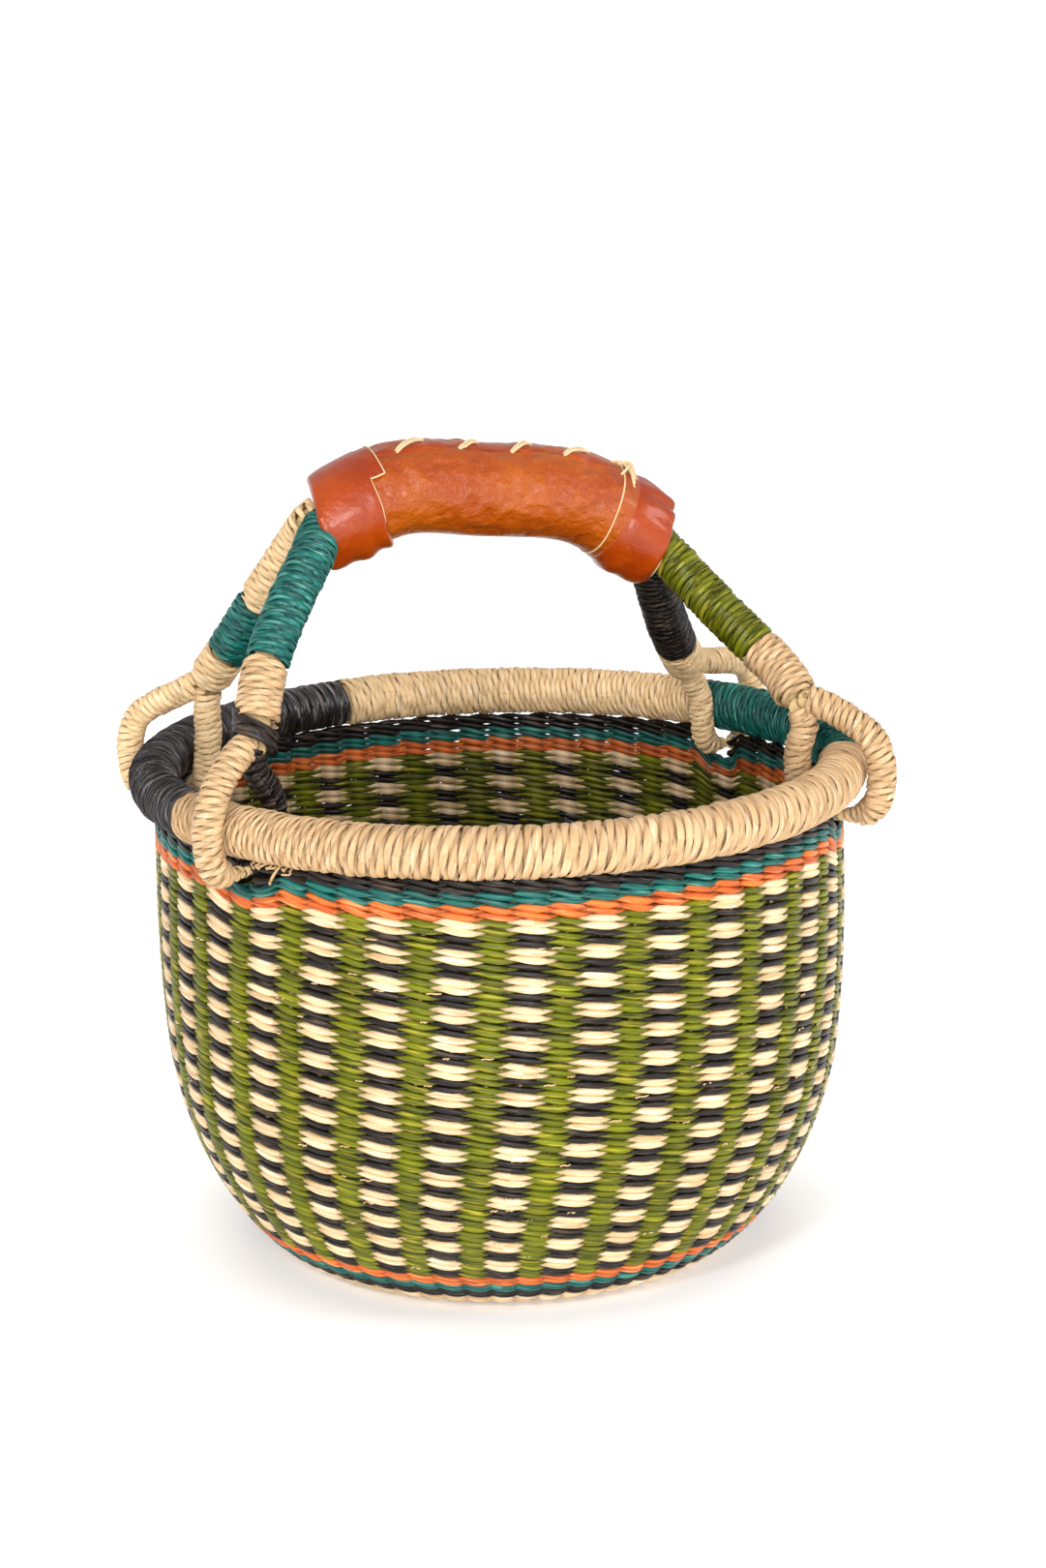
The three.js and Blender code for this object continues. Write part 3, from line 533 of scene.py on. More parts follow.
natural = straw("straw_natural", (243, 214, 172), (253, 240, 216), (206, 164, 112), 0.6, 0.22)
# This is a darker copy of the natural straw: partly painted shade for cord that faces the lamps, partly the
# rim straw's own richer colour.
cord_natural_painted_dark = straw("cord_natural_painted_dark", (211, 176, 133), (244, 224, 194), (190, 150, 104), 0.4, 0.2,
                     relief=0.25, lines=0.16)
# Painted light: this is a lighter copy of the natural cord, for the back rim, the back eyes and the back
# stems, which get less lamp light; on the back left stem's cream length it is also that straw's own pale
# colour.
cord_pale_painted_light = straw("cord_pale_painted_light", (240, 206, 158), (252, 236, 208), (222, 184, 132), 0.4, 0.18,
                  relief=0.2, lines=0.12)
black = straw("straw_black", (30, 22, 17), (138, 112, 92), (10, 7, 6), 0.3, 0.5, gloss=0.3)
teal = straw("straw_teal", (18, 108, 98), (116, 196, 176), (4, 56, 56), 0.45, 0.55, gloss=0.36)
orange = straw("straw_orange", (230, 118, 50), (252, 188, 124), (176, 70, 26), 0.45, 0.35, gloss=0.28)
olive = straw("straw_olive", (116, 120, 4), (204, 180, 62), (56, 62, 2), 0.45, 0.6, gloss=0.26)
# Painted highlight: this black is lighter than the wall's, and its many pale flecks stand in for streaky
# highlights on the rim's flat straws; its purple cast is the straw's own.
bound_black_painted_highlights = straw("straw_black_painted_highlights", (40, 32, 34), (168, 154, 148), (14, 10, 12), 0.6, 0.9,
                    relief=0.5, gloss=0.7)
print("straw finishes", [finish.name for finish in (
    natural, cord_natural_painted_dark, cord_pale_painted_light, black, bound_black_painted_highlights, teal, orange, olive)])

# %% [markdown]
# The weave is twining: at each upright one strand of a pair passes outside and the other inside,
# and the two cross between uprights. A pair of black or natural with olive so makes a check
# column, then an olive column, all the way round. The outline below is the wall's outer face,
# walked from the middle of the base up to the top edge. Under each eye of the handle the bands
# below the rim dip, to make room for its tails.

# %% The wall's outline
wall_height, wall_radius, wall_thickness = 191.2, 143, 6
rim_radius, rim_height = 142, 202
eye_turns = {"front_left": 209, "front_right": 331, "back_left": 151, "back_right": 29}
dip_depth, dip_floor, dip_reach = 7.1, 4.8, {"front": 22, "back": 14}
base_flat = [(0, 0), (30, 0), (60, 0)]
wall_shares = [
    (0, 0.601), (0.0131, 0.664), (0.0471, 0.727), (0.1046, 0.797), (0.209, 0.881), (0.314, 0.937),
    (0.418, 0.972), (0.575, 0.993), (0.732, 1), (1, 0.9965),
]
outline = smooth_line(base_flat + [(wall_radius * r, wall_height * h) for h, r in wall_shares], 1200)
outline[:, 1] = np.clip(outline[:, 1], 0, wall_height)
outline_length = lengths(outline)
outline_way = line_ways(outline)


def wall_at(distance):
    """Radius, height and outward direction of the wall's face at a distance from the base's middle."""
    read = lambda values: np.interp(distance, outline_length, values)
    return read(outline[:, 0]), read(outline[:, 1]), read(outline_way[:, 1]), -read(outline_way[:, 0])


def distance_at(height):
    rising = outline[:, 1] > 0.01
    return float(np.interp(height, outline[rising, 1], outline_length[rising]))


def smooth_share(value, low, high):
    share = np.clip((value - low) / (high - low), 0, 1)
    return share * share * (3 - 2 * share)


def dip_at(azimuth):
    """How far the bands below the rim give way under each eye of the handle."""
    dip = np.zeros_like(azimuth)
    for name, turn in eye_turns.items():
        away = np.abs((np.degrees(azimuth) - turn + 180) % 360 - 180) * math.pi / 180 * rim_radius
        reach = dip_reach[name.split("_")[0]]
        dip = np.maximum(dip, dip_depth * smooth_share(reach - away, 0, reach - dip_floor))
    return dip


wall_top = distance_at(wall_height - 0.01)
print("outline", round(wall_top, 1), "mm from the middle of the base to the top edge")

# %% [markdown]
# One row of twining is a pair of wavy rings. Each strand swings out and in once every two
# uprights, and slides down a little as it passes the front, which slants every stitch. Strands are
# thickest at the middle of a stitch; where they cross they stand thin and deep. Every row, column
# and stitch is a little off, as handwork is.

# %% Twined rows
columns, samples = 64, 8
column_at_top, lean_angle, lean_low, lean_high = math.radians(258.6), 6.4, 19.1, 170.9
lean_shares = ((0, 0.25, 0.39, 0.61, 1), (1, 0.75, 0.545, 0.3, 0))
dip_from_top = ((0, 4.5, 5.2, 10.2, 15.8, 45), (0.15, 0.8, 0.95, 0.75, 0.5, 0))
top_band_tall, swell_in_dip = 5.3, 0.08
column_sway = np.random.default_rng(7).normal(0, 0.035, (5, columns))
weave_section = section("weave_section", [
    (1, 0), (0.84, -0.62), (0, -1), (-0.84, -0.62), (-1, 0), (-0.84, 0.62), (0, 1), (0.84, 0.62)])
base_section = section("base_section", [(1, 0), (0.6, -0.9), (-0.6, -0.9), (-1, 0), (-0.6, 0.9), (0.6, 0.9)])


def column_turn(column, height, count=columns):
    """The azimuth of an upright at a height: they lean back below the bands, and each sways a little."""
    share = np.clip((height - lean_low) / (lean_high - lean_low), 0, 1)
    lean = -lean_angle * np.interp(share, *lean_shares)
    sway = 0.0
    if count == columns:
        level = np.clip(share * 4, 0, 3.999)
        low, part = level.astype(int), level % 1
        here, nearer = np.floor(column).astype(int) % columns, column % 1
        read = lambda row: (column_sway[row, here] * (1 - nearer)
                            + column_sway[row, (here + 1) % columns] * nearer)
        sway = (read(low) * (1 - part) + read(low + 1) * part) * np.clip(share * 6, 0, 1)
    return column_at_top + math.radians(1) * lean + 2 * math.pi / count * (column + sway)


def pressed(place, face, tall, narrow=0.5):
    """How two strands share a row or a cord. The place runs from 0 where a strand is in front to 1 where it
    is behind. Gives how far out its middle lies, half its depth, half its height, and how hidden it is."""
    place = np.abs(place)
    read = lambda spots, values: np.interp(spots, (0, 0.125, 0.25, 0.375, 0.5, 0.625, 0.75, 0.875, 1), values)
    faces = np.array((1, 0.99, 0.96, 0.89, 0.76, 0.54, 0.12, -0.2, -0.3)) * face
    front, behind = read(place, faces), -read(1 - place, faces)
    high = tall * (narrow + (1 - narrow) * np.abs(np.cos(math.pi * place)) ** 0.7) / 2
    hidden = read(place, (0, 0.02, 0.08, 0.22, 0.5, 0.85, 1, 0.7, 0.5))
    return (front + behind) / 2, (front - behind) / 2, high, hidden


def twined(distance, half_turn, seed, count=columns, arc=None, tall=2.95, face=2.75, slide=0.75, cross=0.5,
           samples=samples):
    """One strand of a row, with the stitch middles on the uprights. It crosses its partner at the place
    given by cross: past the half-way place for a strand that stays in front a little longer."""
    dice = np.random.default_rng(seed)
    if arc is None:
        column = np.arange(count * samples) / samples
    else:
        column = np.linspace(arc[0], arc[1], int((arc[1] - arc[0]) * samples) + 1)
    from_top = wall_top - distance
    azimuth = column_turn(column, np.full_like(column, wall_at(distance)[1]), count)
    place = (column + half_turn / math.pi + 1) % 2 - 1
    place = np.sign(place) * np.interp(np.abs(place), (0, cross, 1), (0, 0.5, 1))
    stitch, gap = np.floor(column + 0.5).astype(int) % count, np.floor(column).astype(int) % count
    off = lambda middle, by: dice.normal(middle, by, count + 1)
    grow, tones, narrow = off(1, 0.05), dice.random(count + 1), off(0.49, 0.05)
    offset, deep, high, hidden = pressed(place, face, tall * grow[stitch], narrow[gap])
    sag = off(0, 0.2)
    sag[count] = sag[0]
    waver = np.interp(column % count, np.arange(count + 1), sag)
    down = slide * np.sin(math.pi * place) * off(1, 0.16)[stitch]
    lower = dip_at(azimuth) * np.interp(from_top, *dip_from_top)
    if from_top < top_band_tall:
        high = high * (1 + swell_in_dip * lower)
    radius, height, n_r, n_z = wall_at(distance - lower + waver - down)
    offset = offset - wall_thickness / 2
    size = np.ones_like(column)
    if arc is not None:
        size = np.clip(np.minimum(column - arc[0], arc[1] - column) * 6 + 0.4, 0, 1)
    # The tuck is the hidden share of the strand, which the straw finish paints as shade.
    return dict(points=round_axis(radius + n_r * offset, azimuth, height + n_z * offset), size=size,
                tilt=-np.arctan2(n_z, n_r), tone=tones[stitch], tuck=hidden, shift=dice.random() * 3,
                outward=round_axis(n_r, azimuth, n_z), deep=deep, tall=high)


def rings(name, lines, finish, *nodes, cross_section=weave_section, closed=True):
    return strands(name, lines, cross_section, finish, "basket", *nodes, closed=closed, twist="Z_UP")


print("a row has", columns * samples, "points a strand")

# %% [markdown]
# The wall is 56 rows from the base bands to the orange band. Counted from the top, two rows of
# natural and olive are followed by two rows of black and olive. The two strands of a pair start
# half a turn apart, so what is outside on one upright is inside on the next.

# %% The wall weave
def row_places(low, high, rows):
    low_distance, high_distance = distance_at(low), distance_at(high)
    return [high_distance - (i + 0.5) * (high_distance - low_distance) / rows for i in range(rows)]


rows_a_piece = 19
wall_rows = row_places(19.1, 175.4, 56)
weave = {"natural": (natural, []), "black": (black, []), "olive": (olive, [])}
for i, distance in enumerate(wall_rows):
    label, tall, face = ("natural", 3.4, 2.95) if i % 4 < 2 else ("black", 2.95, 2.7)
    weave[label][1].append(twined(distance, 0, 100 + i, tall=tall, face=face, cross=0.56))
    weave["olive"][1].append(twined(distance, math.pi, 200 + i, cross=0.44))
weave_pieces = [
    rings("weave_%s_%d" % (label, part + 1), lines[part * rows_a_piece:][:rows_a_piece], finish, "wall_weave")
    for label, (finish, lines) in weave.items() for part in range(math.ceil(len(lines) / rows_a_piece))]
print("wall weave", tris(*weave_pieces))

# %% [markdown]
# Here and there a pale straw end shows in the groove between two rows, where the maker joined in a
# new strand. They are short, thin and barely proud of the weave.

# %% Joined straw ends
join_section = oval("join_section", 0.8, 0.7, 6)
join_lines = []
dice = np.random.default_rng(21)
for _ in range(240):
    row, start = int(dice.integers(1, 54)), dice.uniform(0, columns)
    column = start + np.linspace(0, dice.uniform(0.15, 0.42), 7)
    distance = (wall_rows[row] + wall_rows[row + 1]) / 2
    radius, height, n_r, n_z = wall_at(np.full_like(column, distance))
    turn = column_turn(column % columns, height)
    out = 2.15 - wall_thickness / 2 + dice.uniform(-0.3, 0.35) + 0.35 * np.cos(np.linspace(0, 3 * math.pi, 7))
    points = round_axis(radius + n_r * out, turn, height + n_z * out)
    join_lines.append(dict(points=points, tone=dice.random(), shift=dice.random()))
joins = strands("joined_straw_ends", join_lines, join_section, cord_natural_painted_dark, "basket")
print("joined ends", tris(joins))

# %% [markdown]
# Plain bands close the pattern: black, teal and orange where the base turns up, and orange, teal
# and black under the rim, two rows each. Both strands are one colour there, so a row reads as a
# rope. The black band under the rim is made in four arcs, because the eyes of the handle pass
# through the gaps between them.

# %% Colour bands
def band(place, colour, low, high, finish, seed, arcs={"": None}):
    """Two rows of one colour between two heights, as whole rings or as arcs between the eyes."""
    tall, pieces = (high - low) / 2 * 1.16, []
    for end, arc in arcs.items():
        lines = [twined(distance, half, seed + 7 * i + int(half), arc=arc, tall=tall, slide=1.05)
                 for i, distance in enumerate(row_places(low, high, 2)) for half in (0, math.pi)]
        pieces.append(rings("band_" + place + "_" + colour + end, lines, finish,
                            place + "_band_" + colour + end, closed=arc is None))
    return pieces


half_gap = math.degrees(4.1 / rim_radius)
column_of = lambda degrees: (degrees - math.degrees(column_at_top)) / (360 / columns)
black_arcs = {
    "_" + side: (column_of(first + half_gap), column_of(last - half_gap)) for side, first, last in (
        ("back", eye_turns["back_right"], eye_turns["back_left"]),
        ("left", eye_turns["back_left"], eye_turns["front_left"]),
        ("front", eye_turns["front_left"], eye_turns["front_right"]),
        ("right", eye_turns["front_right"], eye_turns["back_right"] + 360))}
bands = [
    *band("base", "black", 6.3, 10.8, black, 310), *band("base", "teal", 10.8, 14.6, teal, 320),
    *band("base", "orange", 14.6, 19.0, orange, 330), *band("top", "orange", 175.4, 181, orange, 340),
    *band("top", "teal", 181, 186, teal, 350),
    *band("top", "black", 186, wall_height, black, 360, black_arcs),
]
print("bands", tris(*bands))

# %% [markdown]
# The uprights are stiff grass stems that the rows are twined round. Sixteen start near the middle
# of the base, and more are slipped in as the round grows, until there are sixty-four. They run up
# the middle of the wall, so only glints of them show, but they fill it as the real ones do.

# %% Uprights and base rounds
first_round, second_split, third_split = 12, 28, 56
upright_section = oval("upright_section", 1.5, 2.4, 6)
upright_lines = []
for k in range(columns):
    start = first_round if k % 4 == 0 else second_split if k % 2 == 0 else third_split
    at = np.linspace(start, wall_top - 1.5, int((wall_top - start) / 6))
    turn = column_turn(np.full_like(at, k), wall_at(at)[1])
    lower = 1.8 * dip_at(turn) * np.interp(wall_top - at, [0, 30], [1, 0])
    radius, height, n_r, n_z = wall_at(at - lower)
    # A tuck of 0.5 paints the uprights in half shade.
    upright_lines.append(dict(
        points=round_axis(radius - n_r * wall_thickness / 2, turn, height - n_z * wall_thickness / 2),
        tone=0.3 + 0.4 * dice.random(), tuck=0.5, shift=dice.random()))
uprights = strands("uprights", upright_lines, upright_section, natural, "basket")

base_start_edge, base_edge, base_row_count = 15.6, distance_at(6.3), 27
base_step = (base_edge - base_start_edge) / base_row_count
round_lines = []
for i, distance in enumerate(np.arange(base_start_edge, base_edge - 0.8, base_step)):
    here = 16 if distance < second_split else 32 if distance < third_split else 64
    round_lines += [twined(distance, half, 400 + 3 * i + int(half), count=here, samples=6)
                    for half in (0, math.pi)]
two_thirds = len(round_lines) // 3 * 2
base_rounds = [
    rings("base_rounds_" + place, lines, natural, "base_weave", cross_section=base_section)
    for place, lines in (("inner", round_lines[:two_thirds]), ("outer", round_lines[two_thirds:]))]

start_lines = [twined(distance, half, 480 + int(distance + half), count=8)
               for distance in (4.2, 7.2, 10.2, 13.0) for half in (0, math.pi)]
base_start = rings("base_start_rounds", start_lines, natural, "base_start")
spokes = []
for k in range(8):
    reach = np.linspace(-13, 13, 9)
    # A tuck of 0.2 paints the spokes in light shade.
    spokes.append(dict(
        points=round_axis(reach, math.pi * k / 8, 3 + 0.35 * np.cos(reach * 0.24) * (k % 3 - 1)), tuck=0.2))
base_spokes = strands("base_start_spokes", spokes, upright_section, natural, "basket", "base_start")
print("uprights and base", tris(uprights, *base_rounds, base_start, base_spokes))

# %% [markdown]
# The rim is a roll of grass laid on the wall's top edge and bound over and over. The roll is spun
# as a ring; the binding is cord wound round it, turn beside turn, in four lengths of colour. A cord's
# two plies share it as the strands of a row do: each lies on top for a while and then dips under.

# %% Rim
rim_core_radius, black_from, black_to, teal_from, teal_to = 8.0, 103, 196.5, 339, 394
flat_straw_section = oval("flat_straw_section", 1.4, 3.9, 6)
ply_section = oval("ply_section", 2, 2, 8)


def grass_core(name, low, high):
    """Rough grass seen only through the gaps of a binding, between the two colours it is given."""
    material, wire, surface = plain_material(name)
    blades = wire.noise(wire.spot(), 900.0, 3.0)
    wire.feed(surface, {"Base Color": wire.blend(blades, shade(*low), shade(*high)), "Roughness": 0.75,
                        "Normal": wire.bump(blades, 0.5, 0.5)})
    return material


grass = grass_core("grass_core", (196, 158, 100), (238, 210, 156))
# Painted shade: the near-black core makes the gaps of the black and the teal bindings read dark.
grass_painted_shade = grass_core("grass_core_painted_shade", (20, 18, 22), (46, 42, 46))

form = bmesh.new()
bmesh.ops.create_circle(form, cap_ends=False, segments=24, radius=rim_core_radius * mm)
bmesh.ops.rotate(form, verts=form.verts, matrix=Matrix.Rotation(math.pi / 2, 3, "X"))
bmesh.ops.translate(form, verts=form.verts, vec=(rim_radius * mm, 0, rim_height * mm))
bmesh.ops.spin(form, geom=form.verts[:] + form.edges[:], cent=(0, 0, 0), axis=(0, 0, 1), dvec=(0, 0, 0),
               angle=2 * math.pi, steps=128, use_merge=True)
bmesh.ops.remove_doubles(form, verts=form.verts, dist=1e-6)
bmesh.ops.recalc_face_normals(form, faces=form.faces)
rim_grass = dress(finished("rim_grass_core", mesh_of("rim_grass_core", form), grass), "basket", "rim_core")
rim_grass.data.materials.append(grass_painted_shade)
# Faces under the black and the teal bindings take the near-black core, which is painted shade in their gaps.
for face in rim_grass.data.polygons:
    turn = math.degrees(math.atan2(face.center.y, face.center.x)) % 360
    face.material_index = int(black_from < turn < black_to or turn > teal_from or turn < teal_to - 360)


def rim_path(first, last):
    azimuth = np.radians(np.linspace(first, last, int(abs(last - first) * 2) + 2))
    return round_axis(rim_radius, azimuth, rim_height)


thick_cord, fine_cord, soft_cord = dict(face=1.45, lens=17), dict(face=1.15, lens=9.5), dict(face=1, lens=24)


def binding(name, path, cord, material, body, node, reach, pitch, seed, start=0.0, end=None, steps=26,
            wobble=0.06, first_side=(0, 0, 1), turn=1, slant=(0, 0, 0)):
    """A bound length: cord wound round a path from start to end, as mm along it. A cord that is not given as
    a face and a lens length is a flat straw's section."""
    end = lengths(path)[-1] if end is None else end
    line = winding(path, reach, pitch, start, end, steps, first_side, seed, turn, wobble, slant)
    dice = np.random.default_rng(seed + 50)
    count = len(line["points"])
    knots = max(count // 11, 4)
    smooth = lambda values: np.interp(np.linspace(0, 1, count), np.linspace(0, 1, knots), values)
    ends = np.clip(np.minimum(np.arange(count), np.arange(count)[::-1]) / 4 + 0.3, 0, 1)
    if not isinstance(cord, dict):
        flat = dict(points=line["points"], tone=line["tone"], size=smooth(dice.normal(1, 0.09, knots)) * ends,
                    tilt=smooth(dice.normal(0, 0.22, knots)), shift=dice.random())
        return strands(name, [flat], cord, material, body, node)
    along = lengths(line["points"]) / cord["lens"] + smooth(np.cumsum(dice.normal(0, 0.14, knots)))
    swell = smooth(dice.normal(1, 0.06, knots)) * ends
    plies = []
    for half in (0, 1):
        place = (along + half + 1) % 2 - 1
        offset, deep, high, hidden = pressed(place, cord["face"], pitch * 1.08)
        slide = 0.24 * pitch * np.sin(math.pi * place)
        tones = dice.random(int(along[-1] / 2) + 4)
        # A ply's tuck, half its hidden share, paints shade on it where it dips under the other ply.
        plies.append(dict(
            points=line["points"] + line["outward"] * offset[:, None] + line["onward"] * slide[:, None],
            outward=line["outward"], deep=deep * swell, tall=high * swell, tuck=hidden * 0.5,
            tone=tones[np.maximum(((along + half + 1) // 2).astype(int), 0)], shift=dice.random()))
    return strands(name, plies, ply_section, material, body, node)


rim_lengths = [
    ("back_natural", 34, black_from, fine_cord, cord_pale_painted_light, "back_natural", 9.3, 2.5, 1),
    ("left_black", black_from, black_to, soft_cord, bound_black_painted_highlights, "left_black", 9.3, 2.7, 1),
    ("collar_natural", black_to, 205.5, fine_cord, cord_natural_painted_dark, "left_black", 9.5, 2.6, 1),
    ("front_left_natural", 205.5, 230, fine_cord, cord_natural_painted_dark, "front_natural", 9.3, 2.6, -1),
    ("front_natural", 230, teal_from, thick_cord, cord_natural_painted_dark, "front_natural", 9.1, 3.35, -1),
    ("right_teal", teal_from, teal_to, fine_cord, teal, "right_teal", 9.3, 2.4, 1),
]
for i, (label, first, last, cord, finish, node, reach, pitch, turn) in enumerate(rim_lengths):
    piece = binding("rim_cord_" + label, rim_path(first, last), cord, finish, "basket", "rim_binding_" + node,
                    reach, pitch, 20 + i, turn=turn, wobble=0.09)
    print(piece.name, tris(piece))

# %% [markdown]
# Below the rim beside the front left eye a few straw ends of the binding stick out. They are short
# lines of flat straw, each bent its own way.

# %% Loose straw ends
loose_section = oval("loose_section", 0.8, 1.3, 6)
loose_lines = []
dice = np.random.default_rng(33)
for i in range(8):
    turn = math.radians(212.0 + 1.1 * i + dice.uniform(-0.3, 0.3))
    long = dice.uniform(0.25, 0.6) if i != 5 else 1.1
    places = []
    for step in range(5):
        out = wall_radius - 1.5 + 2.2 * long * step * dice.uniform(0.7, 1.0)
        low = rim_height - 10.2 - (0.8 + dice.uniform(0.2, 1.0)) * step * long
        swing = turn + math.radians(dice.uniform(-0.5, 0.5)) * step / 2
        places.append(round_axis(out, swing, low))
    loose_lines.append(dict(points=smooth_line(places, 9), tone=dice.random(), shift=dice.random()))
loose = strands("loose_straw_ends", loose_lines, loose_section, cord_natural_painted_dark, "basket", twist="MINIMUM")
print("loose ends", tris(loose))

# %% [markdown]
# The handle is two grass bundles, a front one and a back one. Each end of a bundle parts into two
# tails that loop down either side of the rim and close below it: these are the four eyes that the
# handle swings from. An eye's outer tail hangs outside the rim and its inner tail inside it.

# %% Eyes of the handle
tail_radius, tail_low_radius, arch_radius, stem_radius, tail_core_radius = 5.8, 3.2, 6.6, 8.6, 5
tail_reach, outer_reach, tail_rise, tail_drop, tail_end = 16.7, 17.2, 19.58, 16.98, 0.15
eyes = {  # how far inside the rim's line an eye's top is, its height over that line, and its lean
    "front_left": (5.6, 30, 29), "front_right": (13, 28, 42),
    "back_left": (15, 28, 36), "back_right": (20, 20, 55),
}


def eye_tail(name, outside):
    """The line and the thickness of one tail of an eye, in the upright plane through the basket's axis."""
    inset, rise, lean = eyes[name]
    lean = math.radians(lean)
    up = np.array([-math.sin(lean), math.cos(lean)])
    across = np.array([math.cos(lean), math.sin(lean)]) * (1 if outside else -1)
    middle = np.array([-inset, rise]) - arch_radius * up
    arch = [middle + up * (arch_radius + 2.5) + across * 2.4,
            middle + up * arch_radius * 0.3 + across * arch_radius * 0.92]
    if outside:
        loop = [(0.8 * tail_reach, 0.8 * tail_rise), (outer_reach, 0), (0.8 * tail_reach, -0.8 * tail_drop),
                (tail_end, -tail_drop)]
    else:
        loop = [(-1.04 * tail_reach, 0.45 * tail_rise), (-0.78 * tail_reach, -0.78 * tail_drop),
                (-tail_end, -tail_drop)]
    flat = smooth_line(arch + loop, 60)
    near = smooth_share(tail_reach - np.abs(flat[:, 0]), 4, 12)
    full = tail_radius + (0.4 if outside and name.startswith("front") else 0)
    thick = np.where(flat[:, 1] < 0, full + (tail_low_radius - full) * near, full)
    return round_axis(rim_radius + flat[:, 0], math.radians(eye_turns[name]), rim_height + flat[:, 1]), thick


def stem_end(name):
    inset, rise, lean = eyes[name]
    lean, past = math.radians(lean), 6.65
    return round_axis(rim_radius - inset - past * math.sin(lean), math.radians(eye_turns[name]),
                      rim_height + rise + past * math.cos(lean))


eye_bindings = [  # eye, side, cord, finish, pitch, how far the cord's middle lies inside the tail's face
    ("front_left", "outer", fine_cord, cord_natural_painted_dark, 2.6, 1.1),
    ("front_left", "inner", flat_straw_section, black, 2.7, 1.3),
    *(("front_right", side, fine_cord, cord_natural_painted_dark, 2.5, 1.1) for side in ("outer", "inner")),
    *(("back_left", side, fine_cord, cord_pale_painted_light, 2.5, 1.1) for side in ("outer", "inner")),
    ("back_right", "outer", fine_cord, cord_pale_painted_light, 2.3, 1.0),
    ("back_right", "inner", fine_cord, cord_pale_painted_light, 2.3, 1.5),
]
core_lines, eye_pieces = [], []
for i, (name, side, cord, finish, pitch, inward) in enumerate(eye_bindings):
    line, thick = eye_tail(name, side == "outer")
    distance = lengths(line)
    core_lines.append(dict(points=line, size=(thick - 1.2) / tail_core_radius))
    reach = lambda d, distance=distance, thick=thick, inward=inward: np.interp(d, distance, thick) - inward
    turn = math.radians(eye_turns[name])
    label = "eye_" + name + "_" + side
    eye_pieces.append(binding(
        label + "_cord", line, cord, finish, "handle", label, reach, pitch, 60 + i, 0.5, distance[-1] - 2.2,
        steps=24, first_side=(-math.sin(turn), math.cos(turn), 0)))
core_section = oval("core_section", 2 * tail_core_radius, 2 * tail_core_radius, 12)
strands("eye_grass_cores", core_lines, core_section, grass, "handle")
print("eyes", tris(*eye_pieces))

# %% [markdown]
# Between the eyes and the grip each bundle is bound with cord, in lengths of colour that change
# where the maker joined in new straw. The bundles run on side by side through the grip.

# %% Stems
grip_span, grip_left_stand, grip_right_stand, grip_arch, stem_side = 142.8, 105.7, 86.3, 19, 9.4
bind_start, bound_in_grip, past_eye = 23, 6, 5
stem_shares = {  # how far along each stem's chord its three places come, as shares in x, y and z
    "front_left": [(.19, .22, .12), (.53, .52, .37), (.84, .8, .68)],
    "front_right": [(.26, .22, .25), (.62, .56, .58), (.9, .82, .83)],
    "back_left": [(.11, .2, .13), (.45, .49, .45), (.78, .78, .78)],
    "back_right": [(.14, .17, .26), (.43, .42, .6), (.76, .74, .86)],
}


def grip_line(count=160):
    route = []
    for share, rise in ((0, 0), (0.228, 0.886), (0.469, 1), (0.771, 0.95), (1, 0)):
        stand = grip_left_stand + (grip_right_stand - grip_left_stand) * share
        route.append((-1.1 + grip_span * (share - 0.5), 0, rim_height + stand + grip_arch * rise))
    return smooth_line(route, count)


def beside(name):
    """From the grip's middle line to the line of the front or the back bundle."""
    return np.array([0, -stem_side if name.startswith("front") else stem_side, 0])


def stem_points(name):
    """Places on a stem, from the grip's end out to its eye."""
    start = grip_line()[0 if name.endswith("left") else -1] + beside(name)
    end = stem_end(name)
    return [start + (end - start) * np.array(share) for share in stem_shares[name]] + [end]


def bundle_line(side):
    middle = list(grip_line(13) + beside(side))
    return smooth_line(stem_points(side + "_left")[::-1] + middle + stem_points(side + "_right"), 360)


bundles = {side: bundle_line(side) for side in ("front", "back")}


def stem_path(name):
    """The stem as a line from a little inside the grip out to its eye."""
    side, end = name.split("_")
    line = bundles[side]
    grip_end = grip_line()[0 if end == "left" else -1] + beside(side)
    cut = int(np.argmin(np.linalg.norm(line - grip_end, axis=1)))
    line = line[cut + bound_in_grip::-1] if end == "left" else line[cut - bound_in_grip:]
    way = line[-1] - line[-3]
    return np.vstack([line, line[-1] + np.outer(np.linspace(0.5, past_eye, 10), way / np.linalg.norm(way))])


stem_core_section = oval("stem_core_section", 11.6, 11.6, 14)
for side, line in bundles.items():
    label = "bundle_" + side
    strands(label + "_grass", [dict(points=line)], stem_core_section, grass, "handle", label)

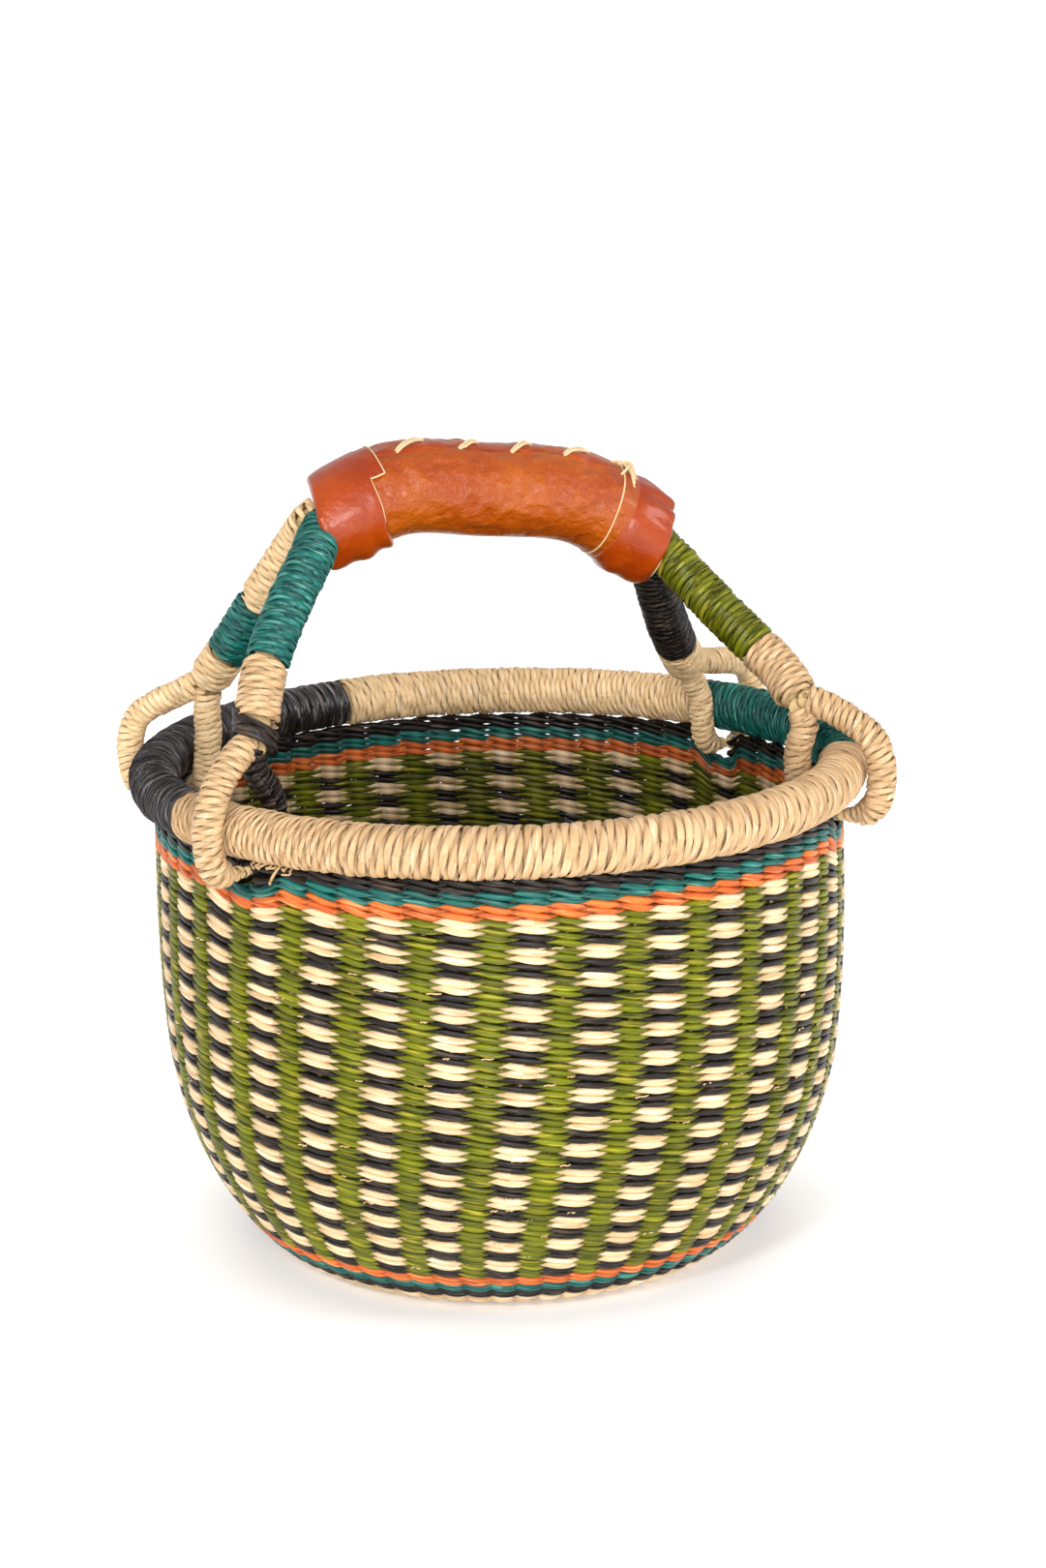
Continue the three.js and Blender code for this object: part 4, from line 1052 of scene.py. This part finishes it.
stem_colours = {  # for each length: its colour, where it ends as a share of the stem, cord, finish, pitch
    "front_left": [("teal", 0.63, fine_cord, teal, 2.8), ("natural", 1, fine_cord, cord_natural_painted_dark, 2.5)],
    "front_right": [("green", 0.6, thick_cord, olive, 2.9), ("natural", 1, fine_cord, cord_natural_painted_dark, 2.5)],
    "back_left": [("cream", 0.42, fine_cord, cord_pale_painted_light, 2.7), ("teal", 0.8, fine_cord, teal, 2.7),
                  ("natural", 1, fine_cord, cord_pale_painted_light, 2.5)],
    "back_right": [("black", 0.68, fine_cord, black, 2.3), ("natural", 1, fine_cord, cord_pale_painted_light, 2.5)],
}
stem_pieces = []
for i, (name, colours) in enumerate(stem_colours.items()):
    path = stem_path(name)
    total = lengths(path)[-1] - past_eye
    begin, banded = 1.0, name == "front_left"
    for j, (colour, share, cord, finish, pitch) in enumerate(colours):
        finish_at = bind_start + (total - bind_start) * share
        last = finish_at + (0 if share < 1 else -6.0 if banded else 3.5)
        close = total + 4 if share == 1 and not banded else total + 99
        full = stem_radius - cord["face"] + 0.6
        reach = lambda d, full=full, close=close: full * min(1, 0.35 + (close - d) / 9)
        label = "stem_" + name + "_" + colour
        stem_pieces.append(binding(
            label + "_cord", path, cord, finish, "handle", label, reach, pitch, 80 + 5 * i + j, begin + 0.8,
            last - 0.8, first_side=(0, 1, 0), slant=(0.9, 0, 0)))
        begin = finish_at
throat_path = stem_path("front_left")
throat_end = lengths(throat_path)[-1] - past_eye
throat = binding("throat_band_straw", throat_path, oval("wide_straw_section", 1.5, 4.6, 8), black, "handle",
                 "throat_band", 8.9, 3.6, 99, throat_end - 5.5, throat_end + 2.0, slant=(3.6, 0, 0))
print("stems", tris(*stem_pieces, throat))

# %% [markdown]
# Leather finish. The grip is vegetable-tanned goatskin: a fine pebbled grain, larger soft crinkles where it
# was pulled round the bundles wet, and a colour that is deeper in the hollows. Its colour is lighter on the
# crinkles' raised tops, which is painted highlight.
# Object coordinates keep the grain the same size on every leather piece.

# %% Leather finish
leather_tree, wire, given = finish_group(
    "leather_grain", {"Color": white, "Deep": dark, "Painted Highlight": white, "Crinkle": 1.0})
spot = wire.spot()
pores = wire.feed(wire.add("TexVoronoi", spot), {"Scale": 1500})
pores.feature = "DISTANCE_TO_EDGE"
grain = wire.step(pores.outputs["Distance"], 0.0, 0.12)
fine = wire.noise(spot, 900.0, 3.0, 0.6)
crinkle = wire.noise(spot, 210.0, 3.0, 0.55)
cloud = wire.noise(spot, 38.0, 2.0)
body = wire.blend(wire.step(cloud, 0.35, 0.68), given["Deep"], given["Color"])
# Painted highlight: the colour turns up to 0.3 towards a lighter one on the raised tops of the crinkles.
body = wire.blend(wire.times(wire.step(crinkle, 0.5, 0.72), 0.3), body, given["Painted Highlight"])
wire.put_out(
    Color=wire.blend(wire.step(fine, 0.3, 0.44, 0.2, 0.0), body, given["Deep"]),
    Roughness=wire.step(fine, 0.3, 0.7, 0.13, 0.27),
    Height=wire.plus(wire.times(crinkle, wire.times(given["Crinkle"], 2.4)),
                     wire.plus(wire.times(grain, 0.04), wire.times(fine, 0.1))))


def leather(name, color, deep, painted_highlight, crinkled, relief):
    return grouped_finish(name, leather_tree, {
        "Color": color, "Deep": deep, "Painted Highlight": painted_highlight, "Crinkle": crinkled}, relief, 0.7,
        {"Specular IOR Level": 0.34, "Coat Weight": 0.16, "Coat Roughness": 0.12})


sleeve_leather = leather("leather", (174, 82, 8), (156, 62, 4), (194, 104, 20), 1.2, 1.0)
cuff_leather = leather("leather_cuff", (168, 64, 4), (148, 48, 3), (184, 82, 12), 0.5, 0.8)
# Painted shadow: a dark brown leather for a thin strand that lies along the flap's edge as the shadow under
# it.
painted_shadow_leather = leather("leather_painted_shadow", (112, 36, 10), (84, 24, 8), (140, 52, 18), 0.3, 0.6)
thong_leather = straw("thong", (232, 204, 158), (250, 232, 200), (196, 160, 110), 0.4, 0.2, 600.0, 0.2)
print("leather finishes", [m.name for m in (sleeve_leather, cuff_leather, painted_shadow_leather, thong_leather)])

# %% [markdown]
# The sleeve is one piece of leather wrapped round both bundles. It starts as a flat grid, as the
# hide does, and each point is laid on the grip by how far along and how far round it comes. The
# hollows between the fibres under it, and the crinkles of the wet fit, are pressed in as it goes.

# %% Leather sleeve and cuffs
grip_middle = grip_line(400)
grip_distance = lengths(grip_middle)
grip_length = grip_distance[-1]
grip_along = line_ways(grip_middle)
grip_round, uv_round, slant_reach, drawn_reach = 18, 18.5, 34, 12
wide_at_ends, wide_inside, high_at_ends, high_inside = 20.6, 19.2, 17.1, 17.5
dimple_dice = random.Random(5)
dimple_ranges = ((26, grip_length - 36), (-2.6, 2.6), (1.8, 4.2), (-0.85, 0.55))
dimples = np.array([[dimple_dice.uniform(*span) for span in dimple_ranges] for _ in range(420)])
dimple_distance, dimple_angle, dimple_reach, dimple_rise = dimples.T


def on_grip(distance, angle, proud=0.0):
    """A place on the sleeve: mm along from the left end, radians from the top towards the front, mm off it.
    Both ends are cut aslant: shorter on top, longer below."""
    near_left = max(0.0, 1 - distance / slant_reach)
    near_right = max(0.0, 1 - (grip_length - distance) / slant_reach)
    distance = (distance + near_left * (3.0 * math.cos(angle) - 4.5 * math.sin(angle) + 1.2)
                - near_right * (4.6 * math.cos(angle) + 4.6))
    middle, along = (picked(distance, grip_distance, table) for table in (grip_middle, grip_along))
    middle = middle + along * (min(distance, 0) + max(distance - grip_length, 0))
    side = np.array([0.0, -1.0, 0.0])
    up = np.cross(side, along)
    share = min(max(distance / grip_length, 0), 1)
    full = math.sqrt(math.sin(math.pi * share))
    drawn_in = max(0.0, 1 - min(share, 1 - share) * grip_length / drawn_reach) ** 1.5
    half_wide = wide_at_ends + (wide_inside - wide_at_ends) * full - 1.4 * drawn_in
    half_high = high_at_ends + (high_inside - high_at_ends) * full - (1.8 if share < 0.5 else 3.4) * drawn_in
    round_gap = (((dimple_angle - angle + math.pi) % (2 * math.pi)) - math.pi) * grip_round
    gap = np.hypot(dimple_distance - distance, round_gap)
    dimpled = float(np.sum(dimple_rise * np.exp(-(gap / dimple_reach * 1.6) ** 2)))
    away = np.array([math.sin(angle) * half_wide, math.cos(angle) * half_high])
    out = np.array([math.sin(angle) / half_wide, math.cos(angle) / half_high])
    out /= np.linalg.norm(out)
    away = away + out * (proud + dimpled)
    return middle + side * away[0] + up * away[1]


def laid_leather(name, first, last, start_angle, end_angle, along_steps, around_steps, proud, thick, material,
                 shape, *nodes, slot_name=None):
    """A grid of leather laid on the grip between two distances and two angles, then given its thickness.
    The shape moves each place: it is told its shares along and round, its distance, angle and lift."""
    form = bmesh.new()
    uv = form.loops.layers.uv.new("UVMap")
    bmesh.ops.create_grid(form, x_segments=along_steps, y_segments=around_steps, size=1)
    flat = {vert: (vert.co.x / 2 + 0.5, vert.co.y / 2 + 0.5) for vert in form.verts}
    for face in form.faces:
        for loop in face.loops:
            x, y = flat[loop.vert]
            loop[uv].uv = (x * (last - first) * mm, y * (end_angle - start_angle) * uv_round * mm)
    for vert, (x, y) in flat.items():
        place = shape(x, y, first + (last - first) * x, start_angle + (end_angle - start_angle) * y, proud)
        vert.co = Vector(on_grip(*place)) * mm
    if end_angle - start_angle > 6.2:
        bmesh.ops.remove_doubles(form, verts=form.verts, dist=0.02 * mm)
    bmesh.ops.solidify(form, geom=form.faces[:], thickness=thick * mm)
    return dress(finished(name, mesh_of(name, form), material), "handle", *nodes, slot_name=slot_name)


def sleeve_shape(x, y, distance, angle, lift):
    tuck = max(0.0, 1 - min(x, 1 - x) * grip_length / 1.6)
    return distance, angle, lift - 0.9 * tuck * tuck


def cuff_shape(x, y, distance, angle, lift):
    edge = min(x, 1 - x) * 24 / 1.2
    wave = 0.7 * math.sin(angle * 2 + 0.6) + 0.4 * math.sin(angle * 5)
    under = math.exp(-((abs(angle) - 2.7) / 0.45) ** 2)
    return (distance + wave * (1 if x > 0.5 else 0.5) * abs(x - 0.5) * 2, angle,
            lift - 0.7 * max(0, 1 - edge) ** 2 + under * (1.0 + 0.6 * math.sin(distance * 0.6)))


def pleat_shape(x, y, distance, angle, lift):
    distance, angle, lift = cuff_shape(x, y, distance, angle, lift)
    near = math.exp(-((angle - 0.45) / 0.5) ** 2)
    pleats = near * math.sin(angle * 14 + x * 3) * min(1, x * 2)
    return distance, angle, lift - 1.1 * (1 - min(1, x * 3)) ** 2 + pleats


sleeve = laid_leather("leather_sleeve", 0, grip_length, -math.pi, math.pi, 150, 96, 0, 1.6, sleeve_leather,
                      sleeve_shape, "grip_leather", "grip_padding")
cuff_left = laid_leather("cuff_left", -0.4, 23.5, -math.pi, math.pi, 28, 96, 1.5, 1.2, cuff_leather,
                         cuff_shape, "grip_cuff_left")
cuff_right = laid_leather("cuff_right", grip_length - 23, grip_length + 0.4, -math.pi, math.pi, 28, 128, 1.3,
                          1.2, cuff_leather, pleat_shape, "grip_cuff_right")
print("leather", tris(sleeve, cuff_left, cuff_right))

# %% [markdown]
# Small leather work on the grip: the edge of the wrap lies along the top as a flap, and a thin
# thong laces it down at four places. A strap end sits beside the left cuff, and at the right the
# thong goes round the grip and is knotted. Cut edges of the skin are pale, because dye only
# reached its face. Inside each end of the grip a few turns of cord close the hole.

# %% Flap, lacing, tab, tie and cut edges
thong_section = oval("thong_section", 0.9, 1.7, 8)
flap_start, tie_distance = 26, grip_length - 31.1


def small_piece(name, lines, finish, *nodes, cross_section=thong_section, closed=False):
    return strands(name, lines, cross_section, finish, "handle", *nodes, closed=closed, twist="MINIMUM")


def laid_line(places, **looks):
    return dict(points=np.array([on_grip(*place) for place in places]), **looks)


def flap_shape(x, y, distance, angle, lift):
    narrow = smooth_share(np.array(min(x, 1 - x) * 12), 0, 1)
    wave = 0.05 * math.sin(distance * 0.19) + 0.03 * math.sin(distance * 0.53)
    angle = 0.1 + (angle - 0.1) * float(0.6 + 0.4 * narrow) + (wave + 0.16 * (abs(2 * x - 1) ** 2)) * y
    return distance, angle, lift * (0.6 + 0.4 * y) + 0.25 * math.sin(distance * 0.31) * y


def tab_shape(x, y, distance, angle, lift):
    return distance + 1.5 * y, angle, lift - 0.5 * (abs(2 * y - 1) ** 6)


def flap_edge(distance):
    spread_out = 0.16 * (2 * (distance - flap_start) / (tie_distance - 29) - 1) ** 2
    return distance, 0.455 + 0.05 * math.sin(distance * 0.19) + spread_out, 0.9


def lace_place(share, ply, t):
    return (grip_length * share + 12.0 * (t - 0.5) + ply * 0.5 * math.sin(math.pi * t),
            0.5 - 0.44 * t + ply * 0.04, 0.6 + 2.6 * math.sin(math.pi * min(t * 1.1, 1)) ** 0.5)


flap = laid_leather("grip_flap", flap_start, tie_distance - 3, -0.5, 0.42, 110, 14, 1.9, 1.3, cuff_leather,
                    flap_shape, "grip_seam_welt", slot_name="leather")
# A thin strand of dark leather along the flap's edge is painted shadow under the flap.
small_piece("grip_flap_shadow_edge",
            [laid_line([flap_edge(d) for d in np.linspace(28, tie_distance - 5, 90)])], painted_shadow_leather)

laces = []
for i, share in enumerate((0.265, 0.405, 0.555, 0.69)):
    lines = [laid_line([lace_place(share, ply, t) for t in np.linspace(0, 1, 14)], size=0.72)
             for ply in (-0.7, 0.7)]
    laces.append(small_piece("grip_lacing_%d" % (i + 1), lines, thong_leather, "grip_stitch_%d" % (i + 1)))

ring = [(tie_distance + 2.0 - 2.6 * math.cos(angle) + 0.5 * math.sin(3 * angle), angle, 1.3)
        for angle in np.linspace(0, 2 * math.pi, 90, endpoint=False)]
tie = small_piece("grip_tie_thong", [laid_line(ring, size=0.85)], thong_leather, "grip_tie", closed=True)

knot_routes = [  # places as mm past the tie, radians from the top and mm off the leather
    [(-2, -0.35, 1), (0, -0.1, 2.4), (3, 0.2, 2.8), (5, 0.55, 1.2)],
    [(4, -0.3, 1), (2, -0.05, 3.4), (1, 0.22, 3.4), (-2, 0.5, 1)],
    [(-3, 0.1, 1.2), (0, 0.12, 4.0), (3, 0.05, 3.8), (6, 0.3, 1.0), (9, 0.62, 0.6)],
    [(-5, 0.05, 0.8), (-2, 0.02, 2.2), (2, 0.3, 2.6), (5, 0.66, 0.8)],
    [(0, 0.35, 1.0), (1.5, 0.1, 3.2), (4, -0.12, 3.0), (3, -0.4, 0.8)],
]
knot_lines = []
for route in knot_routes:
    spots = [on_grip(tie_distance + 0.5 + d, a + 0.1, h + 0.4) for d, a, h in route]
    knot_lines.append(dict(points=smooth_line(spots, 18), size=0.95))
knot = small_piece("grip_knot_strands", knot_lines, thong_leather, "grip_tie_knot")

tab = laid_leather("grip_tab_strap", 20.5, 27.2, -0.3, 0.95, 10, 16, 2.6, 1.1, cuff_leather, tab_shape,
                   "grip_tab")

whole_turn, along_tab = np.linspace(-math.pi, math.pi, 91), np.linspace(0, 1, 12)
edges = small_piece("leather_cut_edges", [laid_line(places, size=0.85, tone=0.6) for places in (
    [(cuff_shape(1, 0, 23.7, a, 0)[0], a, 1.9) for a in whole_turn],
    [(cuff_shape(0, 0, -0.5, a, 0)[0], a, 1.5) for a in whole_turn],
    [(grip_length + 0.5, a, 1.4) for a in whole_turn],
    [(27.3 + 1.5 * t, -0.3 + 1.25 * t, 2.5) for t in along_tab],
    [(28.8 - 5 * t, 0.96, 2.5) for t in along_tab],
)], thong_leather, cross_section=oval("edge_section", 0.7, 0.9, 6))

end_lines = []
for side in (0, 1):
    spiral = []
    for i, angle in enumerate(np.linspace(0, 2 * math.pi * 4.2, 150)):
        part = i / 150
        depth = 1.6 + 3.2 * part
        at = depth if side == 0 else grip_length - depth
        place, across = on_grip(at, angle, -2.6), on_grip(at, angle + math.pi, -2.6)
        middle = (place + across) / 2
        spiral.append(middle + (place - middle) * (1 - 0.62 * part))
    end_lines.append(dict(points=np.array(spiral), shift=side))
small_piece("grip_end_cords", end_lines, cord_natural_painted_dark, cross_section=oval("end_section", 2.5, 2.5, 8))
print("small leather work", tris(flap, *laces, tie, knot, tab, edges))

# %% [markdown]
# The cross-sections have done their work and are taken away, and the size of the finished model is printed.

# %% Tidy up and print the size
for shape in [o for o in bpy.data.objects if o.name.endswith("_section")]:
    bpy.data.objects.remove(shape)
low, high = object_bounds()
print("visual box", [round(v, 4) for v in (*low, *high)])
